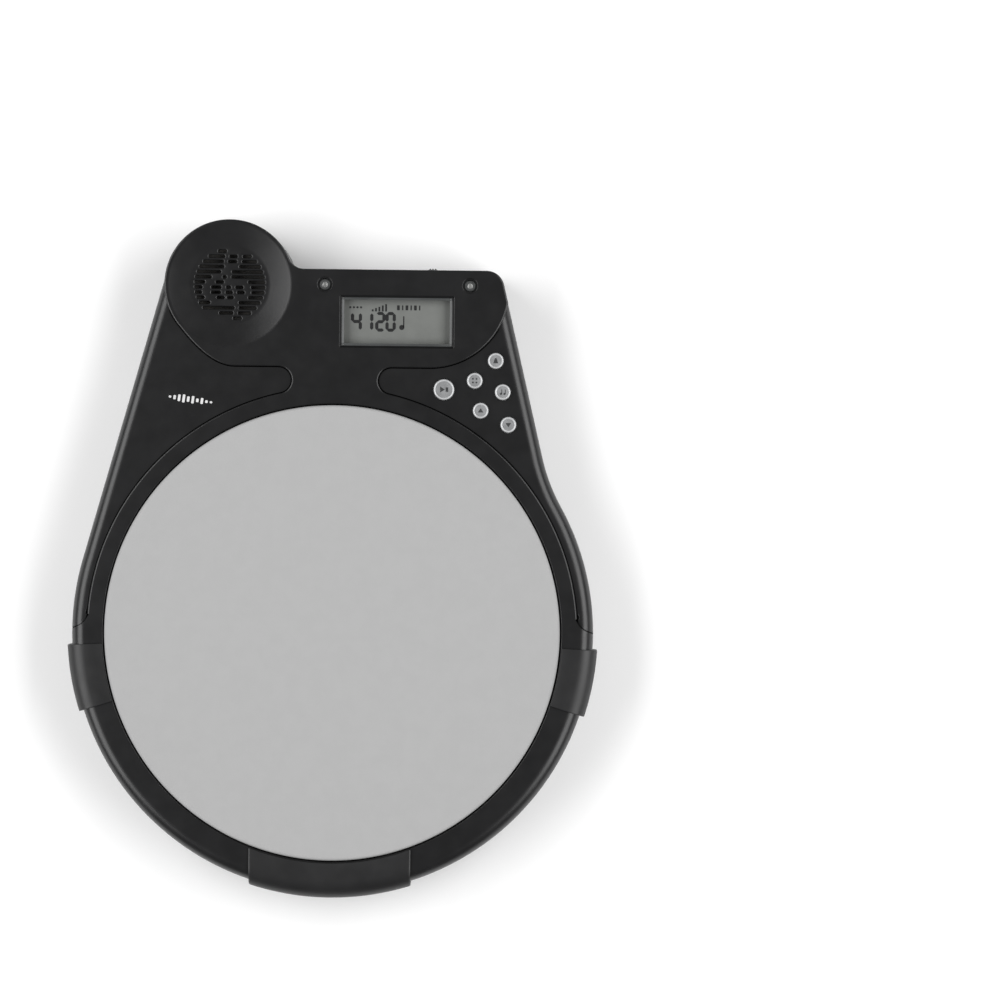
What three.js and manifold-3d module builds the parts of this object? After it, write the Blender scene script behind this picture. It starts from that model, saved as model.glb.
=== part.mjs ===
// Electronic practice drum pad: a battery-powered playing pad with speaker, display and buttons.
// Millimetres. +Z is up out of the playing surface, +Y runs from the pad towards the speaker end.
// Every piece is drawn about the middle of the round pad; the last lines move the origin
// to the middle of the underside's box, so the object stands on z = 0.
import * as THREE from 'three';
import { mergeVertices } from 'three/addons/utils/BufferGeometryUtils.js';
import Module from 'manifold-3d';

const wasm = await Module();
wasm.setup();

// ---- Driving dimensions -------------------------------------------------------------------

const gap = 0.3; // running clearance between touching pieces
const wall = 2.2; // moulded wall of both covers
const chordError = 0.25; // how far a facet may stand off its true arc

// Playing surface and the sandwich under it
const padRadius = 101.6;
const padThickness = 6.9;
const padProud = 1.5; // how far the pad stands above the cover
const padEdge = 1.2; // its chamfered edge
const foamThickness = 3;
const plateThickness = 1.2;
const plateMargin = 0.6; // plate and foam are this much smaller than the pad
const piezoRadius = 13.5;
const piezoThickness = 0.6;
const trayWall = 2.3;
const sensorHoleMargin = 4; // tray floor open this far round the sensor
const trayUnderClearance = 4.5; // between the tray floor and the stand nut's boss

// Case outline, seen from above
const ringWidth = 15.1; // cover around the pad
const flatRingWidth = 7.9; // its flat part, before the outer slope
const lobeRadius = 29.1;
const lobeX = -47.5;
const headAbovePad = 60.8; // top edge
const lobeBelowTop = 7.4;
const lobeFillet = 7;
const cornerRadius = 8;
const sideAngle = 13.2; // degrees off +Y, right-hand edge
const sideOffset = 7.14; // that edge's line, outside the pad's radius
const sideFillet = 85;

// Heights
const footProud = 1;
const footThickness = 2;
const lowerShellDepth = 14;
const bottomChamfer = 2.5;
const bevelWidth = 5;
const bevelHeight = 4.8;
const tierStep = 1.2; // the middle stands this much above the two wings

// Wings: the lower panels on each side
const wingTipRadius = 6;
const wingTipX = 25.3;
const wingTopAbovePad = 17.1;
const wingBendX = 42;
const wingBendRadius = 35.5;
const wingFootY = 7.3; // where each wing ends beside the pad
const wingFootDrop = 7.8;
const wingFootBow = 1.6; // how round the foot's corner is drawn
const wingSweepStart = 2.5; // the left wing's sweep under the lobe: start, pull and meeting angle
const wingSweepPull = 8.4;
const wingSweepAngle = 221.5;
const wingBendEnd = -6; // degrees
const cutBeyond = 12; // cutting shapes reach this far past the rim

// Underside recess, spokes and the stand nut
const recessRadius = 81.9;
const recessDepth = 5;
const pocketDepth = 3;
const hubRadius = 35.7;
const pocketRimWidth = 2.9;
const pocketStart = 22; // degrees in each quadrant
const pocketEnd = 68;
const nutAcrossFlats = 25;
const nutBore = 6.8;
const nutThickness = 7;
const nutProud = 0.5;
const nutTurn = 43.6; // degrees to its first corner
const nutBossWall = 4;
const nutBossRoof = 2;

// Feet and rating plate
const footLength = 87.5;
const footWidth = 33.5;
const footAbovePad = 11.8;
const footCorner = 2.2;
const arcFootInner = 87.4;
const arcFootOuter = 107.5;
const arcFootTop = 24.4; // degrees above the X axis
const arcFootBottom = -64.1;
const footEndGap = 0.2; // degrees
const labelLength = 53.7;
const labelWidth = 20;
const labelBelowTop = 17.1;
const labelThickness = 0.3;

// Fasteners
const bossRadius = 4.2;
const pilotRadius = 1.1;
const screwRadius = 1.5;
const screwHeadRadius = 2.8;
const screwHeadHeight = 2;
const counterboreRadius = 3.1;
const counterboreDepth = 8;
const screwReach = 7; // into the upper cover
const ringBossAngles = [38.8, 141.2, -11, 191, -61.06, 241.06]; // around the pad tray
const headBossBelowTop = 7;
const headBossLeftX = -70.2;
const headBossRightX = 67.9;
const headBossLeftRise = 0.2; // the left one sits this much nearer the top edge

// Rim guards
const guardThickness = 1.8;
const guardTopThickness = 0.7;
const guardSideTop = -3.2; // degrees
const guardSideBottom = -17.9;
const guardBottomHalfWidth = 36.1;
const guardBottomReach = 30; // degrees each side of the front, before it is cut square

// Speaker
const grilleRadius = 16.5;
const dishRadius = 28;
const dishDepth = 1.2;
const slotCount = 14;
const slotPitch = 2.3;
const slotWidth = 1.2;
const speakerRadius = 17.7;
const speakerDepth = 9;
const magnetRadius = 9;
const magnetDepth = 7;
const basketSheet = 1.2; // pressed frame
const basketSeat = 1.4; // its rim under the cover
const basketLip = 2;
const coneThickness = 1;
const coneLift = 3.2; // its middle above the basket's floor
const coneHeart = 4;

// Display
const windowX = 27.4;
const windowBelowTop = 23.3;
const windowLength = 50.8;
const windowWidth = 23.2;
const windowLedge = 1.6;
const windowThickness = 0.8;
const windowSink = 0.4;
const lcdThickness = 2.8;
const lcdMargin = 1.5;

// Indicator lights
const ledRadius = 2.5;
const ledBelowTop = 6.9;
const ledLeftX = -4.9;
const ledRightX = 59.9;
const ledProud = 0.8;
const ledDome = 1.6;
const ledFlange = 0.4;
const ledFlangeHeight = 1;
const ledSeatDrop = 2; // its flange's underside, under the cover's inside face

// Buttons: how far out from the pad's edge, angle around it, cap radius
const buttonProud = 1.4;
const buttonEdge = 0.6;
const buttonTravel = 0.8;
const buttonFlange = 0.8;
const buttonFlangeHeight = 1.4;
const buttonClearance = 0.35;
const buttonLayout = [
  { name: 'play_button', beyondPad: 17.9, angle: 65.94, radius: 4.6 },
  { name: 'beat_button', beyondPad: 27.7, angle: 61.14, radius: 3.5 },
  { name: 'tempo_button', beyondPad: 40.1, angle: 59.6, radius: 3.5 },
  { name: 'rhythm_button', beyondPad: 30.1, angle: 55.3, radius: 3.5 },
  { name: 'up_button', beyondPad: 17.7, angle: 56.87, radius: 3.5 },
  { name: 'down_button', beyondPad: 20.1, angle: 50.37, radius: 3.5 },
];
const tactSize = 6;
const tactHeight = 3.2;
const boardThickness = 1.6;
const buttonBoardMargin = 6.2;

// Controls and sockets in the top wall
const bayDepth = 30; // upright room inside the top wall
const bayMargin = 5.5; // beyond the lights
const mainBoardLeft = -22;
const mainBoardRight = 62.5;
const mainBoardWidth = 37;
const mainBoardBelowTop = 3.4;
const mainBoardDrop = 10.2; // its upper face under the cover's inside
const knobX = 43;
const knobWidth = 4;
const knobHeight = 2.2;
const knobProud = 1.3;
const knobTravel = 4;
const switchBodyLength = 12;
const switchBodyHeight = 3.2;
const switchBodyDepth = 4;
const wheelX = 33.6;
const wheelRadius = 9.3;
const wheelProud = 0.5;
const wheelThickness = 2.6;
const wheelLift = 0.4; // above the switch beside it
const wheelSlotMargin = 1.5; // slot's ends, inside the wheel's sides
const wheelShaftRadius = 2;
const potSize = 9;
const jackLayout = [
  { name: 'power_jack', x: -4, width: 9, height: 7.6, depth: 12, bore: 3.1 },
  { name: 'aux_jack', x: 8, width: 7, height: 6, depth: 12, bore: 1.8 },
  { name: 'phones_jack', x: 18, width: 7, height: 6, depth: 12, bore: 1.8 },
];
const jackBoreDepth = 9;
const jackBarrelWall = 0.5;

// Battery and its sliding door, along the straight left-hand edge
const batteryLength = 48.5;
const batteryWidth = 26.5;
const batteryThickness = 17.5;
const snapLength = 4.5;
const snapMargin = 1.5;
const cellSlack = 2.5; // room left along the battery and its connector
const boxTrayClearance = 1.3;
const boxWall = 1.5;
const doorEndMargin = 4.7; // door beyond the box, at the pad end
const doorThickness = 2;
const doorSideHeight = 12;
const doorBeyondBox = 0.8; // at the speaker end
const leadRadius = 0.8;
const leadEnd = 1.2; // leads stop this far off the board's edge

// ---- Derived levels and places --------------------------------------------------------------

const rimRadius = padRadius + ringWidth;
const flatRadius = padRadius + flatRingWidth;
const slopeRadius = rimRadius - bevelWidth;
const trayInner = padRadius + gap * 2;
const trayOuter = trayInner + trayWall;
const headTop = padRadius + headAbovePad;
const lobeY = headTop - lobeBelowTop;
const caseBottom = footProud;
const floorTop = caseBottom + wall;
const parting = caseBottom + lowerShellDepth;
const upperStart = parting + gap;
const recessTop = caseBottom + recessDepth;
const pocketTop = recessTop + pocketDepth;
const nutBottom = recessTop - nutProud;
const nutTop = nutBottom + nutThickness;
const nutBossTop = nutTop + gap + nutBossRoof;
const batteryBottom = caseBottom + doorThickness + 2 * gap;
const boxTop = batteryBottom + batteryThickness + gap + boxWall;
const padStack = plateThickness + foamThickness + padThickness + 3 * gap - padProud - tierStep;
// The case is as deep as its deeper stack: nut, tray and pad, or the battery box under the slope.
const trayFloorBottom = Math.max(nutBossTop + trayUnderClearance, boxTop + gap + bevelHeight - padStack);
const trayFloorTop = trayFloorBottom + wall;
const plateBottom = trayFloorTop + gap;
const foamBottom = plateBottom + plateThickness + gap;
const padBottom = foamBottom + foamThickness + gap;
const padTop = padBottom + padThickness;
const tierTop = padTop - padProud;
const wingTop = tierTop - tierStep;
const roof = wingTop - wall; // inside face of the upper cover

// ---- Small tools ------------------------------------------------------------------------------

const degrees = (value) => THREE.MathUtils.degToRad(value);
const polar = (radius, angle) => [
  radius * Math.cos(degrees(angle)),
  radius * Math.sin(degrees(angle)),
];

// Points along an arc, anticlockwise when the end angle is the larger, facets within chordError.
function arc(x, y, radius, start, end) {
  const step = 2 * Math.acos(1 - Math.min(chordError / radius, 0.3));
  const count = Math.max(2, Math.ceil(Math.abs(degrees(end - start)) / step));
  return Array.from({ length: count + 1 }, (_, i) => {
    const [dx, dy] = polar(radius, start + ((end - start) * i) / count);
    return new THREE.Vector2(x + dx, y + dy);
  });
}

const shapeOf = (points) => new THREE.Shape(points);
const circle = (x, y, radius) => shapeOf(arc(x, y, radius, 0, 360).slice(1));

function rectangle(x, y, length, width, corner = 0) {
  const halfL = length / 2 - corner;
  const halfW = width / 2 - corner;
  const centres = [[halfL, halfW, 0], [-halfL, halfW, 90], [-halfL, -halfW, 180], [halfL, -halfW, 270]];
  if (corner === 0) {
    return shapeOf(centres.map(([cx, cy]) => new THREE.Vector2(x + cx, y + cy)));
  }
  return shapeOf(centres.flatMap(([cx, cy, a]) => arc(x + cx, y + cy, corner, a, a + 90)));
}

function sector(inner, outer, start, end) {
  return shapeOf([...arc(0, 0, outer, start, end), ...arc(0, 0, inner, end, start)]);
}

// Everything below is drawn upright, from one height to another.
function prism(shape, low, high) {
  const geometry = new THREE.ExtrudeGeometry(shape, { depth: high - low, bevelEnabled: false });
  return geometry.translate(0, 0, low);
}

// A turned piece about the upright line through (x, y); the profile is [radius, height] pairs.
function turned(profile, x = 0, y = 0, sides = 24) {
  const points = profile.map(([radius, height]) => new THREE.Vector2(radius, height));
  const geometry = new THREE.LatheGeometry(points, sides);
  return geometry.rotateX(Math.PI / 2).translate(x, y, 0);
}

function box(x, y, z, dx, dy, dz) {
  return new THREE.BoxGeometry(dx, dy, dz).translate(x, y, z);
}

// A round bar lying along Y.
function barAlongY(x, y, z, radius, length, sides = 16) {
  return new THREE.CylinderGeometry(radius, radius, length, sides).translate(x, y, z);
}

function toSolid(geometry) {
  const bare = geometry.clone();
  bare.deleteAttribute('normal');
  bare.deleteAttribute('uv');
  const merged = mergeVertices(bare, 1e-4);
  const mesh = new wasm.Mesh({
    numProp: 3,
    vertProperties: new Float32Array(merged.attributes.position.array),
    triVerts: new Uint32Array(merged.index.array),
  });
  return new wasm.Manifold(mesh);
}

function toGeometry(solid) {
  const mesh = solid.getMesh();
  const geometry = new THREE.BufferGeometry();
  geometry.setAttribute('position', new THREE.BufferAttribute(mesh.vertProperties, 3));
  geometry.setIndex(new THREE.BufferAttribute(mesh.triVerts, 1));
  geometry.computeVertexNormals();
  return geometry;
}

const join = (first, ...others) => others.reduce((sum, next) => sum.add(toSolid(next)), first);
const cut = (first, ...others) => others.reduce((rest, next) => rest.subtract(toSolid(next)), first);

const finishes = {
  blackPlastic: { color: 0x26272a, roughness: 0.5, metalness: 0 },
  greyRubber: { color: 0xb4b4b4, roughness: 0.85, metalness: 0 },
  blackRubber: { color: 0x2c2c2e, roughness: 0.9, metalness: 0 },
  foam: { color: 0x3a3a3c, roughness: 0.95, metalness: 0 },
  steel: { color: 0x9a9da0, roughness: 0.4, metalness: 1 },
  nickel: { color: 0xc9c6bd, roughness: 0.3, metalness: 1 },
  brass: { color: 0xb5924c, roughness: 0.4, metalness: 1 },
  greenBoard: { color: 0x1f5a34, roughness: 0.6, metalness: 0 },
  clearPlastic: { color: 0xe8eceb, roughness: 0.1, metalness: 0 },
  lcdGlass: { color: 0x8d918d, roughness: 0.3, metalness: 0 },
  silverPlastic: { color: 0xbfc0c2, roughness: 0.35, metalness: 0.6 },
  label: { color: 0x1a1a1c, roughness: 0.3, metalness: 0 },
  paper: { color: 0x3c3a36, roughness: 0.9, metalness: 0 },
  batteryCan: { color: 0x4b5058, roughness: 0.35, metalness: 0.7 },
  wire: { color: 0x8c2320, roughness: 0.6, metalness: 0 },
};
const materials = Object.fromEntries(
  Object.entries(finishes).map(([name, look]) => [name, new THREE.MeshStandardMaterial(look)]),
);

const object = new THREE.Group();

function add(name, piece, finish) {
  const geometry = piece.isBufferGeometry ? piece : toGeometry(piece);
  const mesh = new THREE.Mesh(geometry, materials[finish]);
  mesh.name = name;
  object.add(mesh);
}

// ---- The case outline -------------------------------------------------------------------------

// Angle of the outward normal of the straight left-hand edge, which touches rim and lobe circles.
const lobeDistance = Math.hypot(lobeX, lobeY);
const edgeNormal = THREE.MathUtils.radToDeg(
  Math.atan2(lobeY, lobeX) + Math.acos((rimRadius - lobeRadius) / lobeDistance),
);

// The outline moved inwards by inset: rim, concave waist, right edge, corner, top edge, lobe.
function caseOutline(inset = 0) {
  const rim = rimRadius - inset;
  const lobe = lobeRadius - inset;
  const top = headTop - inset;
  const corner = cornerRadius - Math.min(inset, cornerRadius - 1);
  const side = padRadius + sideOffset - inset;
  const waist = sideFillet + inset;
  const fillet = lobeFillet + inset;
  const waistTurn = THREE.MathUtils.radToDeg(Math.acos((side + waist) / (rim + waist)));
  const waistAngle = sideAngle + waistTurn;
  const [waistX, waistY] = polar(rim + waist, waistAngle);
  const cornerY = top - corner;
  const cornerX = (side - corner - cornerY * Math.sin(degrees(sideAngle))) / Math.cos(degrees(sideAngle));
  const filletY = top + fillet;
  const filletX = lobeX + Math.sqrt((lobe + fillet) ** 2 - (filletY - lobeY) ** 2);
  const filletAngle = THREE.MathUtils.radToDeg(Math.atan2(filletY - lobeY, filletX - lobeX));
  return shapeOf([
    ...arc(0, 0, rim, edgeNormal - 360, waistAngle),
    ...arc(waistX, waistY, waist, waistAngle + 180, sideAngle + 180).slice(1),
    ...arc(cornerX, cornerY, corner, sideAngle, 90),
    ...arc(filletX, filletY, fillet, 270, filletAngle + 180),
    ...arc(lobeX, lobeY, lobe, filletAngle, edgeNormal).slice(1),
  ]);
}

// A slab of the outline whose upper or lower edge slopes in by width over height.
function slopedSlab(inset, low, high, width, height, edge) {
  const flatLow = edge === 'top' ? low : low + height;
  const flatHigh = edge === 'top' ? high - height : high;
  const flat = prism(caseOutline(inset), flatLow, flatHigh);
  const geometry = new THREE.ExtrudeGeometry(caseOutline(inset), {
    depth: high - low - 2 * height,
    bevelEnabled: true,
    bevelThickness: height,
    bevelSize: width,
    bevelOffset: -width,
    bevelSegments: 1,
  });
  return toSolid(geometry.translate(0, 0, low + height)).add(toSolid(flat));
}

// One wing panel, reaching past the outline; side is +1 on the right and -1 on the left.
function wingShape(side) {
  const tipY = padRadius + wingTopAbovePad - wingTipRadius;
  const tipAngle = THREE.MathUtils.radToDeg(Math.atan2(tipY, wingTipX));
  const top = padRadius + wingTopAbovePad;
  const beyond = rimRadius + cutBeyond;
  const footAngle = THREE.MathUtils.radToDeg(Math.asin(wingFootY / flatRadius));
  const shape = new THREE.Path();
  shape.moveTo(wingTipX, top);
  if (side > 0) {
    shape.lineTo(wingBendX, top);
    shape.absarc(wingBendX, top + wingBendRadius, wingBendRadius, degrees(-90), degrees(wingBendEnd), false);
    shape.lineTo(beyond, top + wingBendRadius);
  } else {
    const [sweepX, sweepY] = polar(lobeRadius + gap, wingSweepAngle);
    shape.lineTo(-lobeX - wingSweepStart, top);
    shape.quadraticCurveTo(wingSweepPull - lobeX, top, -lobeX - sweepX, lobeY + sweepY);
    shape.absarc(-lobeX, lobeY, lobeRadius + gap, degrees(180 - wingSweepAngle), 0, false);
    shape.lineTo(beyond, lobeY);
  }
  shape.lineTo(beyond, wingFootY - wingFootDrop);
  shape.lineTo(rimRadius, wingFootY - wingFootDrop);
  const footPoint = polar(flatRadius, footAngle);
  const footPull = 2 * wingFootY - wingFootDrop * wingFootBow;
  shape.quadraticCurveTo(flatRadius, footPull, footPoint[0], footPoint[1]);
  shape.absarc(0, 0, flatRadius, degrees(footAngle), degrees(tipAngle), false);
  shape.absarc(wingTipX, tipY, wingTipRadius, degrees(tipAngle + 180), degrees(90), true);
  const points = shape.getPoints(14).map((p) => new THREE.Vector2(side * p.x, p.y));
  return shapeOf(points.slice(0, -1));
}

// ---- Screw places ---------------------------------------------------------------------------

const ringBossRadius = trayOuter + bossRadius + gap;
const screwPlaces = [
  ...ringBossAngles.map((angle) => polar(ringBossRadius, angle)),
  [headBossLeftX, headTop - headBossBelowTop + headBossLeftRise],
  [headBossRightX, headTop - headBossBelowTop],
];

// ---- Battery frame: local x along the left-hand edge, local y outward, from the pad's middle ---

const boxInner = rimRadius - wall - gap - batteryWidth - 2 * gap - boxWall;
const boxStart = Math.sqrt((trayOuter + gap) ** 2 - boxInner ** 2) + boxTrayClearance;
const cellStart = boxStart + boxWall;
const cellLength = batteryLength + snapLength + cellSlack;
const boxEnd = cellStart + cellLength + boxWall;
const doorStart = boxStart - doorEndMargin;
const doorEnd = boxEnd + doorBeyondBox;
const snapMiddle = rimRadius - wall - batteryWidth / 2;
const alongEdge = degrees(edgeNormal - 90);

// A block in that frame, given by its lowest and highest corners.
function edgeBlock(x0, x1, y0, y1, z0, z1) {
  const block = box((x0 + x1) / 2, (y0 + y1) / 2, (z0 + z1) / 2, x1 - x0, y1 - y0, z1 - z0);
  return block.rotateZ(alongEdge);
}

const edgePoint = (x, y) => [
  x * Math.cos(alongEdge) - y * Math.sin(alongEdge),
  x * Math.sin(alongEdge) + y * Math.cos(alongEdge),
];

// ---- Bottom cover -----------------------------------------------------------------------------

const wallInside = rimRadius - wall;
const nutRadius = nutAcrossFlats / Math.sqrt(3);
const nutBossRadius = nutRadius + gap + nutBossWall;
const pocketOuter = recessRadius - pocketRimWidth;
const footY = padRadius + footAbovePad;
const labelY = headTop - labelBelowTop;

function hexagon(radius) {
  return shapeOf([0, 1, 2, 3, 4, 5].map((i) => new THREE.Vector2(...polar(radius, nutTurn + 60 * i))));
}

function bottomCover() {
  let body = slopedSlab(0, caseBottom, parting, bottomChamfer, bottomChamfer, 'bottom');
  body = cut(body, prism(caseOutline(wall), floorTop, parting + 1));
  body = join(
    body,
    prism(circle(0, 0, recessRadius + wall), caseBottom + 0.5, recessTop + wall),
    prism(circle(0, 0, nutBossRadius), recessTop, nutBossTop),
  );
  for (let quadrant = 0; quadrant < 4; quadrant += 1) {
    const start = 90 * quadrant + pocketStart;
    const end = 90 * quadrant + pocketEnd;
    const cap = sector(hubRadius - wall, pocketOuter + wall, start - wall, end + wall);
    body = join(body, prism(cap, recessTop, pocketTop + wall));
    body = cut(body, prism(sector(hubRadius, pocketOuter, start, end), recessTop - 1, pocketTop));
  }
  body = cut(
    body,
    prism(circle(0, 0, recessRadius), caseBottom - 1, recessTop),
    prism(hexagon(nutRadius + gap), recessTop - 1, nutTop + gap),
  );
  for (const [x, y] of screwPlaces) {
    body = join(body, prism(circle(x, y, bossRadius), caseBottom + 0.5, parting));
  }
  for (const [x, y] of screwPlaces) {
    body = cut(
      body,
      prism(circle(x, y, counterboreRadius), caseBottom - 1, caseBottom + counterboreDepth),
      prism(circle(x, y, screwRadius + gap), caseBottom, parting + 1),
    );
  }
  const seat = caseBottom + doorThickness + gap;
  body = join(
    body,
    edgeBlock(
      doorStart - boxWall,
      doorEnd + boxWall,
      boxInner - boxWall,
      wallInside + gap,
      caseBottom + 1,
      seat + boxWall,
    ),
    edgeBlock(boxStart, boxEnd, boxInner, wallInside - gap, caseBottom + 1, boxTop),
  );
  const sideSeat = seat + doorSideHeight - doorThickness;
  const cellInner = boxInner + boxWall;
  const cutReach = rimRadius + cutBeyond;
  const [leadX, leadY] = edgePoint(boxEnd, snapMiddle);
  const footSeat = rectangle(0, footY, footLength + 2 * gap, footWidth + 2 * gap, footCorner);
  const labelSeat = rectangle(0, labelY, labelLength + 2 * gap, labelWidth + 2 * gap);
  body = cut(
    body,
    edgeBlock(doorStart - gap, doorEnd + gap, boxInner - gap, cutReach, caseBottom - 1, seat),
    edgeBlock(doorStart - gap, doorEnd + gap, wallInside - gap, cutReach, caseBottom, sideSeat),
    edgeBlock(cellStart, boxEnd - boxWall, cellInner, wallInside - gap / 2, caseBottom, boxTop - boxWall),
    new THREE.CylinderGeometry(leadRadius + gap * 2, leadRadius + gap * 2, 3 * boxWall, 10)
      .rotateZ(alongEdge + Math.PI / 2)
      .translate(leadX, leadY, parting),
    prism(footSeat, 0, footThickness + gap),
    prism(labelSeat, 0, caseBottom + labelThickness + 2 * gap),
  );
  for (const turn of [0, 180]) {
    const start = turn === 0 ? arcFootBottom : turn - arcFootTop;
    const end = turn === 0 ? arcFootTop : turn - arcFootBottom;
    const seatShape = sector(arcFootInner - gap, arcFootOuter + gap, start - footEndGap, end + footEndGap);
    body = cut(body, prism(seatShape, 0, footThickness + gap));
  }
  return body;
}

add('bottom_cover', bottomCover(), 'blackPlastic');

// ---- Top cover --------------------------------------------------------------------------------

// The round rim in section, thickened: up the outside, over the slope and onto the flat ring.
function rimProfile(base, grow, rise) {
  const slope = (tierTop - wingTop) / (slopeRadius - flatRadius);
  const stepIn = Math.min(grow, rise / slope);
  return [
    [0, base],
    [rimRadius + grow, base],
    [rimRadius + grow, wingTop - bevelHeight + rise],
    [slopeRadius + grow, wingTop + rise],
    [flatRadius + stepIn, tierTop + rise],
    [0, tierTop + rise],
  ];
}

const lcdBottom = roof - gap - lcdThickness;
const windowY = headTop - windowBelowTop;
const boardTop = roof - mainBoardDrop;
const jackZ = (height) => boardTop + gap + height / 2;
const knobZ = boardTop + gap + switchBodyHeight / 2;
const wheelBottom = boardTop + 2 * gap + switchBodyHeight + wheelLift;
const wheelY = headTop + wheelProud - wheelRadius;
const buttons = buttonLayout.map((button) => {
  const [x, y] = polar(padRadius + button.beyondPad, button.angle);
  return { ...button, x, y };
});

function topCover() {
  // The head's sides rise upright to the top level; the wings and the rim slope in instead.
  const slopeStart = wingTop - bevelHeight;
  const headSide = toSolid(box(0, 2 * padRadius, tierTop, 4 * padRadius, 2 * padRadius, 2 * tierTop));
  const head = cut(
    toSolid(prism(caseOutline(), slopeStart, tierTop)).intersect(headSide),
    prism(wingShape(1), slopeStart - 1, tierTop + 1),
    prism(wingShape(-1), slopeStart - 1, tierTop + 1),
  );
  let body = slopedSlab(0, upperStart, wingTop, bevelWidth, bevelHeight, 'top').add(head);
  const ring = [
    [0, roof + 0.5],
    [slopeRadius, roof + 0.5],
    [slopeRadius, wingTop],
    [flatRadius, tierTop],
    [0, tierTop],
  ];
  body = join(body, turned(ring, 0, 0, 72));
  body = cut(
    body,
    prism(wingShape(1), wingTop, tierTop + 5),
    prism(wingShape(-1), wingTop, tierTop + 5),
  );
  body = body.subtract(slopedSlab(wall, upperStart - 5, roof, bevelWidth, bevelHeight, 'top'));
  // The straight top wall is upright inside, behind the sockets.
  const bayY = headTop - wall - bayDepth / 2;
  const bay = rectangle((ledLeftX + ledRightX) / 2, bayY, ledRightX - ledLeftX + 2 * bayMargin, bayDepth);
  body = cut(body, prism(bay, upperStart - 1, roof));
  body = join(body, prism(circle(0, 0, trayOuter), trayFloorBottom, roof + 0.5));
  for (const [x, y] of screwPlaces) {
    body = join(body, prism(circle(x, y, bossRadius), upperStart, roof + 0.5));
  }
  for (const [x, y] of screwPlaces) {
    body = cut(body, prism(circle(x, y, pilotRadius + 0.5), upperStart - 1, parting + screwReach + 1));
  }
  const dish = [
    [0, tierTop - dishDepth],
    [grilleRadius, tierTop - dishDepth],
    [dishRadius, tierTop],
    [dishRadius, tierTop + 2],
    [0, tierTop + 2],
  ];
  const windowSeat = tierTop - windowSink - windowThickness - gap;
  const windowHole = rectangle(windowX, windowY, windowLength - 2 * windowLedge, windowWidth - windowLedge);
  body = cut(
    body,
    prism(circle(0, 0, trayInner), trayFloorTop, tierTop + 5),
    prism(circle(0, 0, piezoRadius + sensorHoleMargin), trayFloorBottom - 1, trayFloorTop + 1),
    turned(dish, lobeX, lobeY, 32),
    prism(rectangle(windowX, windowY, windowLength, windowWidth), windowSeat, tierTop + 5),
    prism(windowHole, roof - 1, tierTop + 5),
  );
  for (let row = 0; row < slotCount; row += 1) {
    const offset = (row - (slotCount - 1) / 2) * slotPitch;
    const length = 2 * Math.sqrt(grilleRadius ** 2 - offset ** 2);
    body = cut(body, box(lobeX, lobeY + offset, roof, length, slotWidth, 4 * wall));
  }
  for (const x of [ledLeftX, ledRightX]) {
    body = cut(body, prism(circle(x, headTop - ledBelowTop, ledRadius + gap), roof - 1, tierTop + 1));
  }
  for (const { x, y, radius } of buttons) {
    body = cut(body, prism(circle(x, y, radius + buttonClearance), roof - 1, tierTop + 1));
  }
  for (const { x, height, bore } of jackLayout) {
    body = cut(body, barAlongY(x, headTop, jackZ(height), bore + jackBarrelWall + gap, 4 * wall, 16));
  }
  const wallMiddle = headTop - wall / 2;
  const knobSlot = knobWidth + knobTravel + 4 * gap;
  const wheelSlot = 2 * (wheelRadius - wheelSlotMargin);
  const wheelMiddle = wheelBottom + wheelThickness / 2;
  body = cut(
    body,
    box(knobX + knobTravel / 2, wallMiddle, knobZ, knobSlot, 2 * wall, knobHeight + 2 * gap),
    box(wheelX, wallMiddle, wheelMiddle, wheelSlot, 2 * wall, wheelThickness + 2 * gap),
  );
  return body;
}

add('top_cover', topCover(), 'blackPlastic');

// ---- Playing pad and sensor -------------------------------------------------------------------

const padProfile = [
  [0, padBottom],
  [padRadius, padBottom],
  [padRadius, padTop - padEdge],
  [padRadius - padEdge, padTop],
  [0, padTop],
];
add('playing_pad', turned(padProfile, 0, 0, 64), 'greyRubber');
const plateRadius = padRadius - plateMargin;
add('pad_foam', prism(circle(0, 0, plateRadius), foamBottom, foamBottom + foamThickness), 'foam');
add('pad_plate', prism(circle(0, 0, plateRadius), plateBottom, plateBottom + plateThickness), 'steel');
const piezoTop = plateBottom - gap;
add('piezo_sensor', prism(circle(0, 0, piezoRadius), piezoTop - piezoThickness, piezoTop), 'brass');

// ---- Rim guards: bands clipped over the rim at both sides and at the front -----------------------

function rimGuard(plan) {
  const outerProfile = rimProfile(upperStart, gap + guardThickness, gap + guardTopThickness);
  const outside = toSolid(turned(outerProfile, 0, 0, 72));
  const inside = toSolid(turned(rimProfile(upperStart, gap, gap), 0, 0, 72));
  return outside.subtract(inside).intersect(toSolid(prism(plan, upperStart, padTop)));
}

const guardInner = padRadius + 3 * gap;
const guardOuter = rimRadius + 2 * guardThickness;
const guardPlan = (start, end) => sector(guardInner, guardOuter, start, end);
add('rim_guard_right', rimGuard(guardPlan(guardSideBottom, guardSideTop)), 'blackRubber');
add('rim_guard_left', rimGuard(guardPlan(180 - guardSideTop, 180 - guardSideBottom)), 'blackRubber');
// The front one is cut square, along lines parallel to Y.
const frontBand = rimGuard(guardPlan(270 - guardBottomReach, 270 + guardBottomReach));
const squareEnds = rectangle(0, -guardOuter, 2 * guardBottomHalfWidth, guardOuter);
add('rim_guard_front', frontBand.intersect(toSolid(prism(squareEnds, caseBottom, padTop))), 'blackRubber');

// ---- Display, lights and boards ---------------------------------------------------------------

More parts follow.
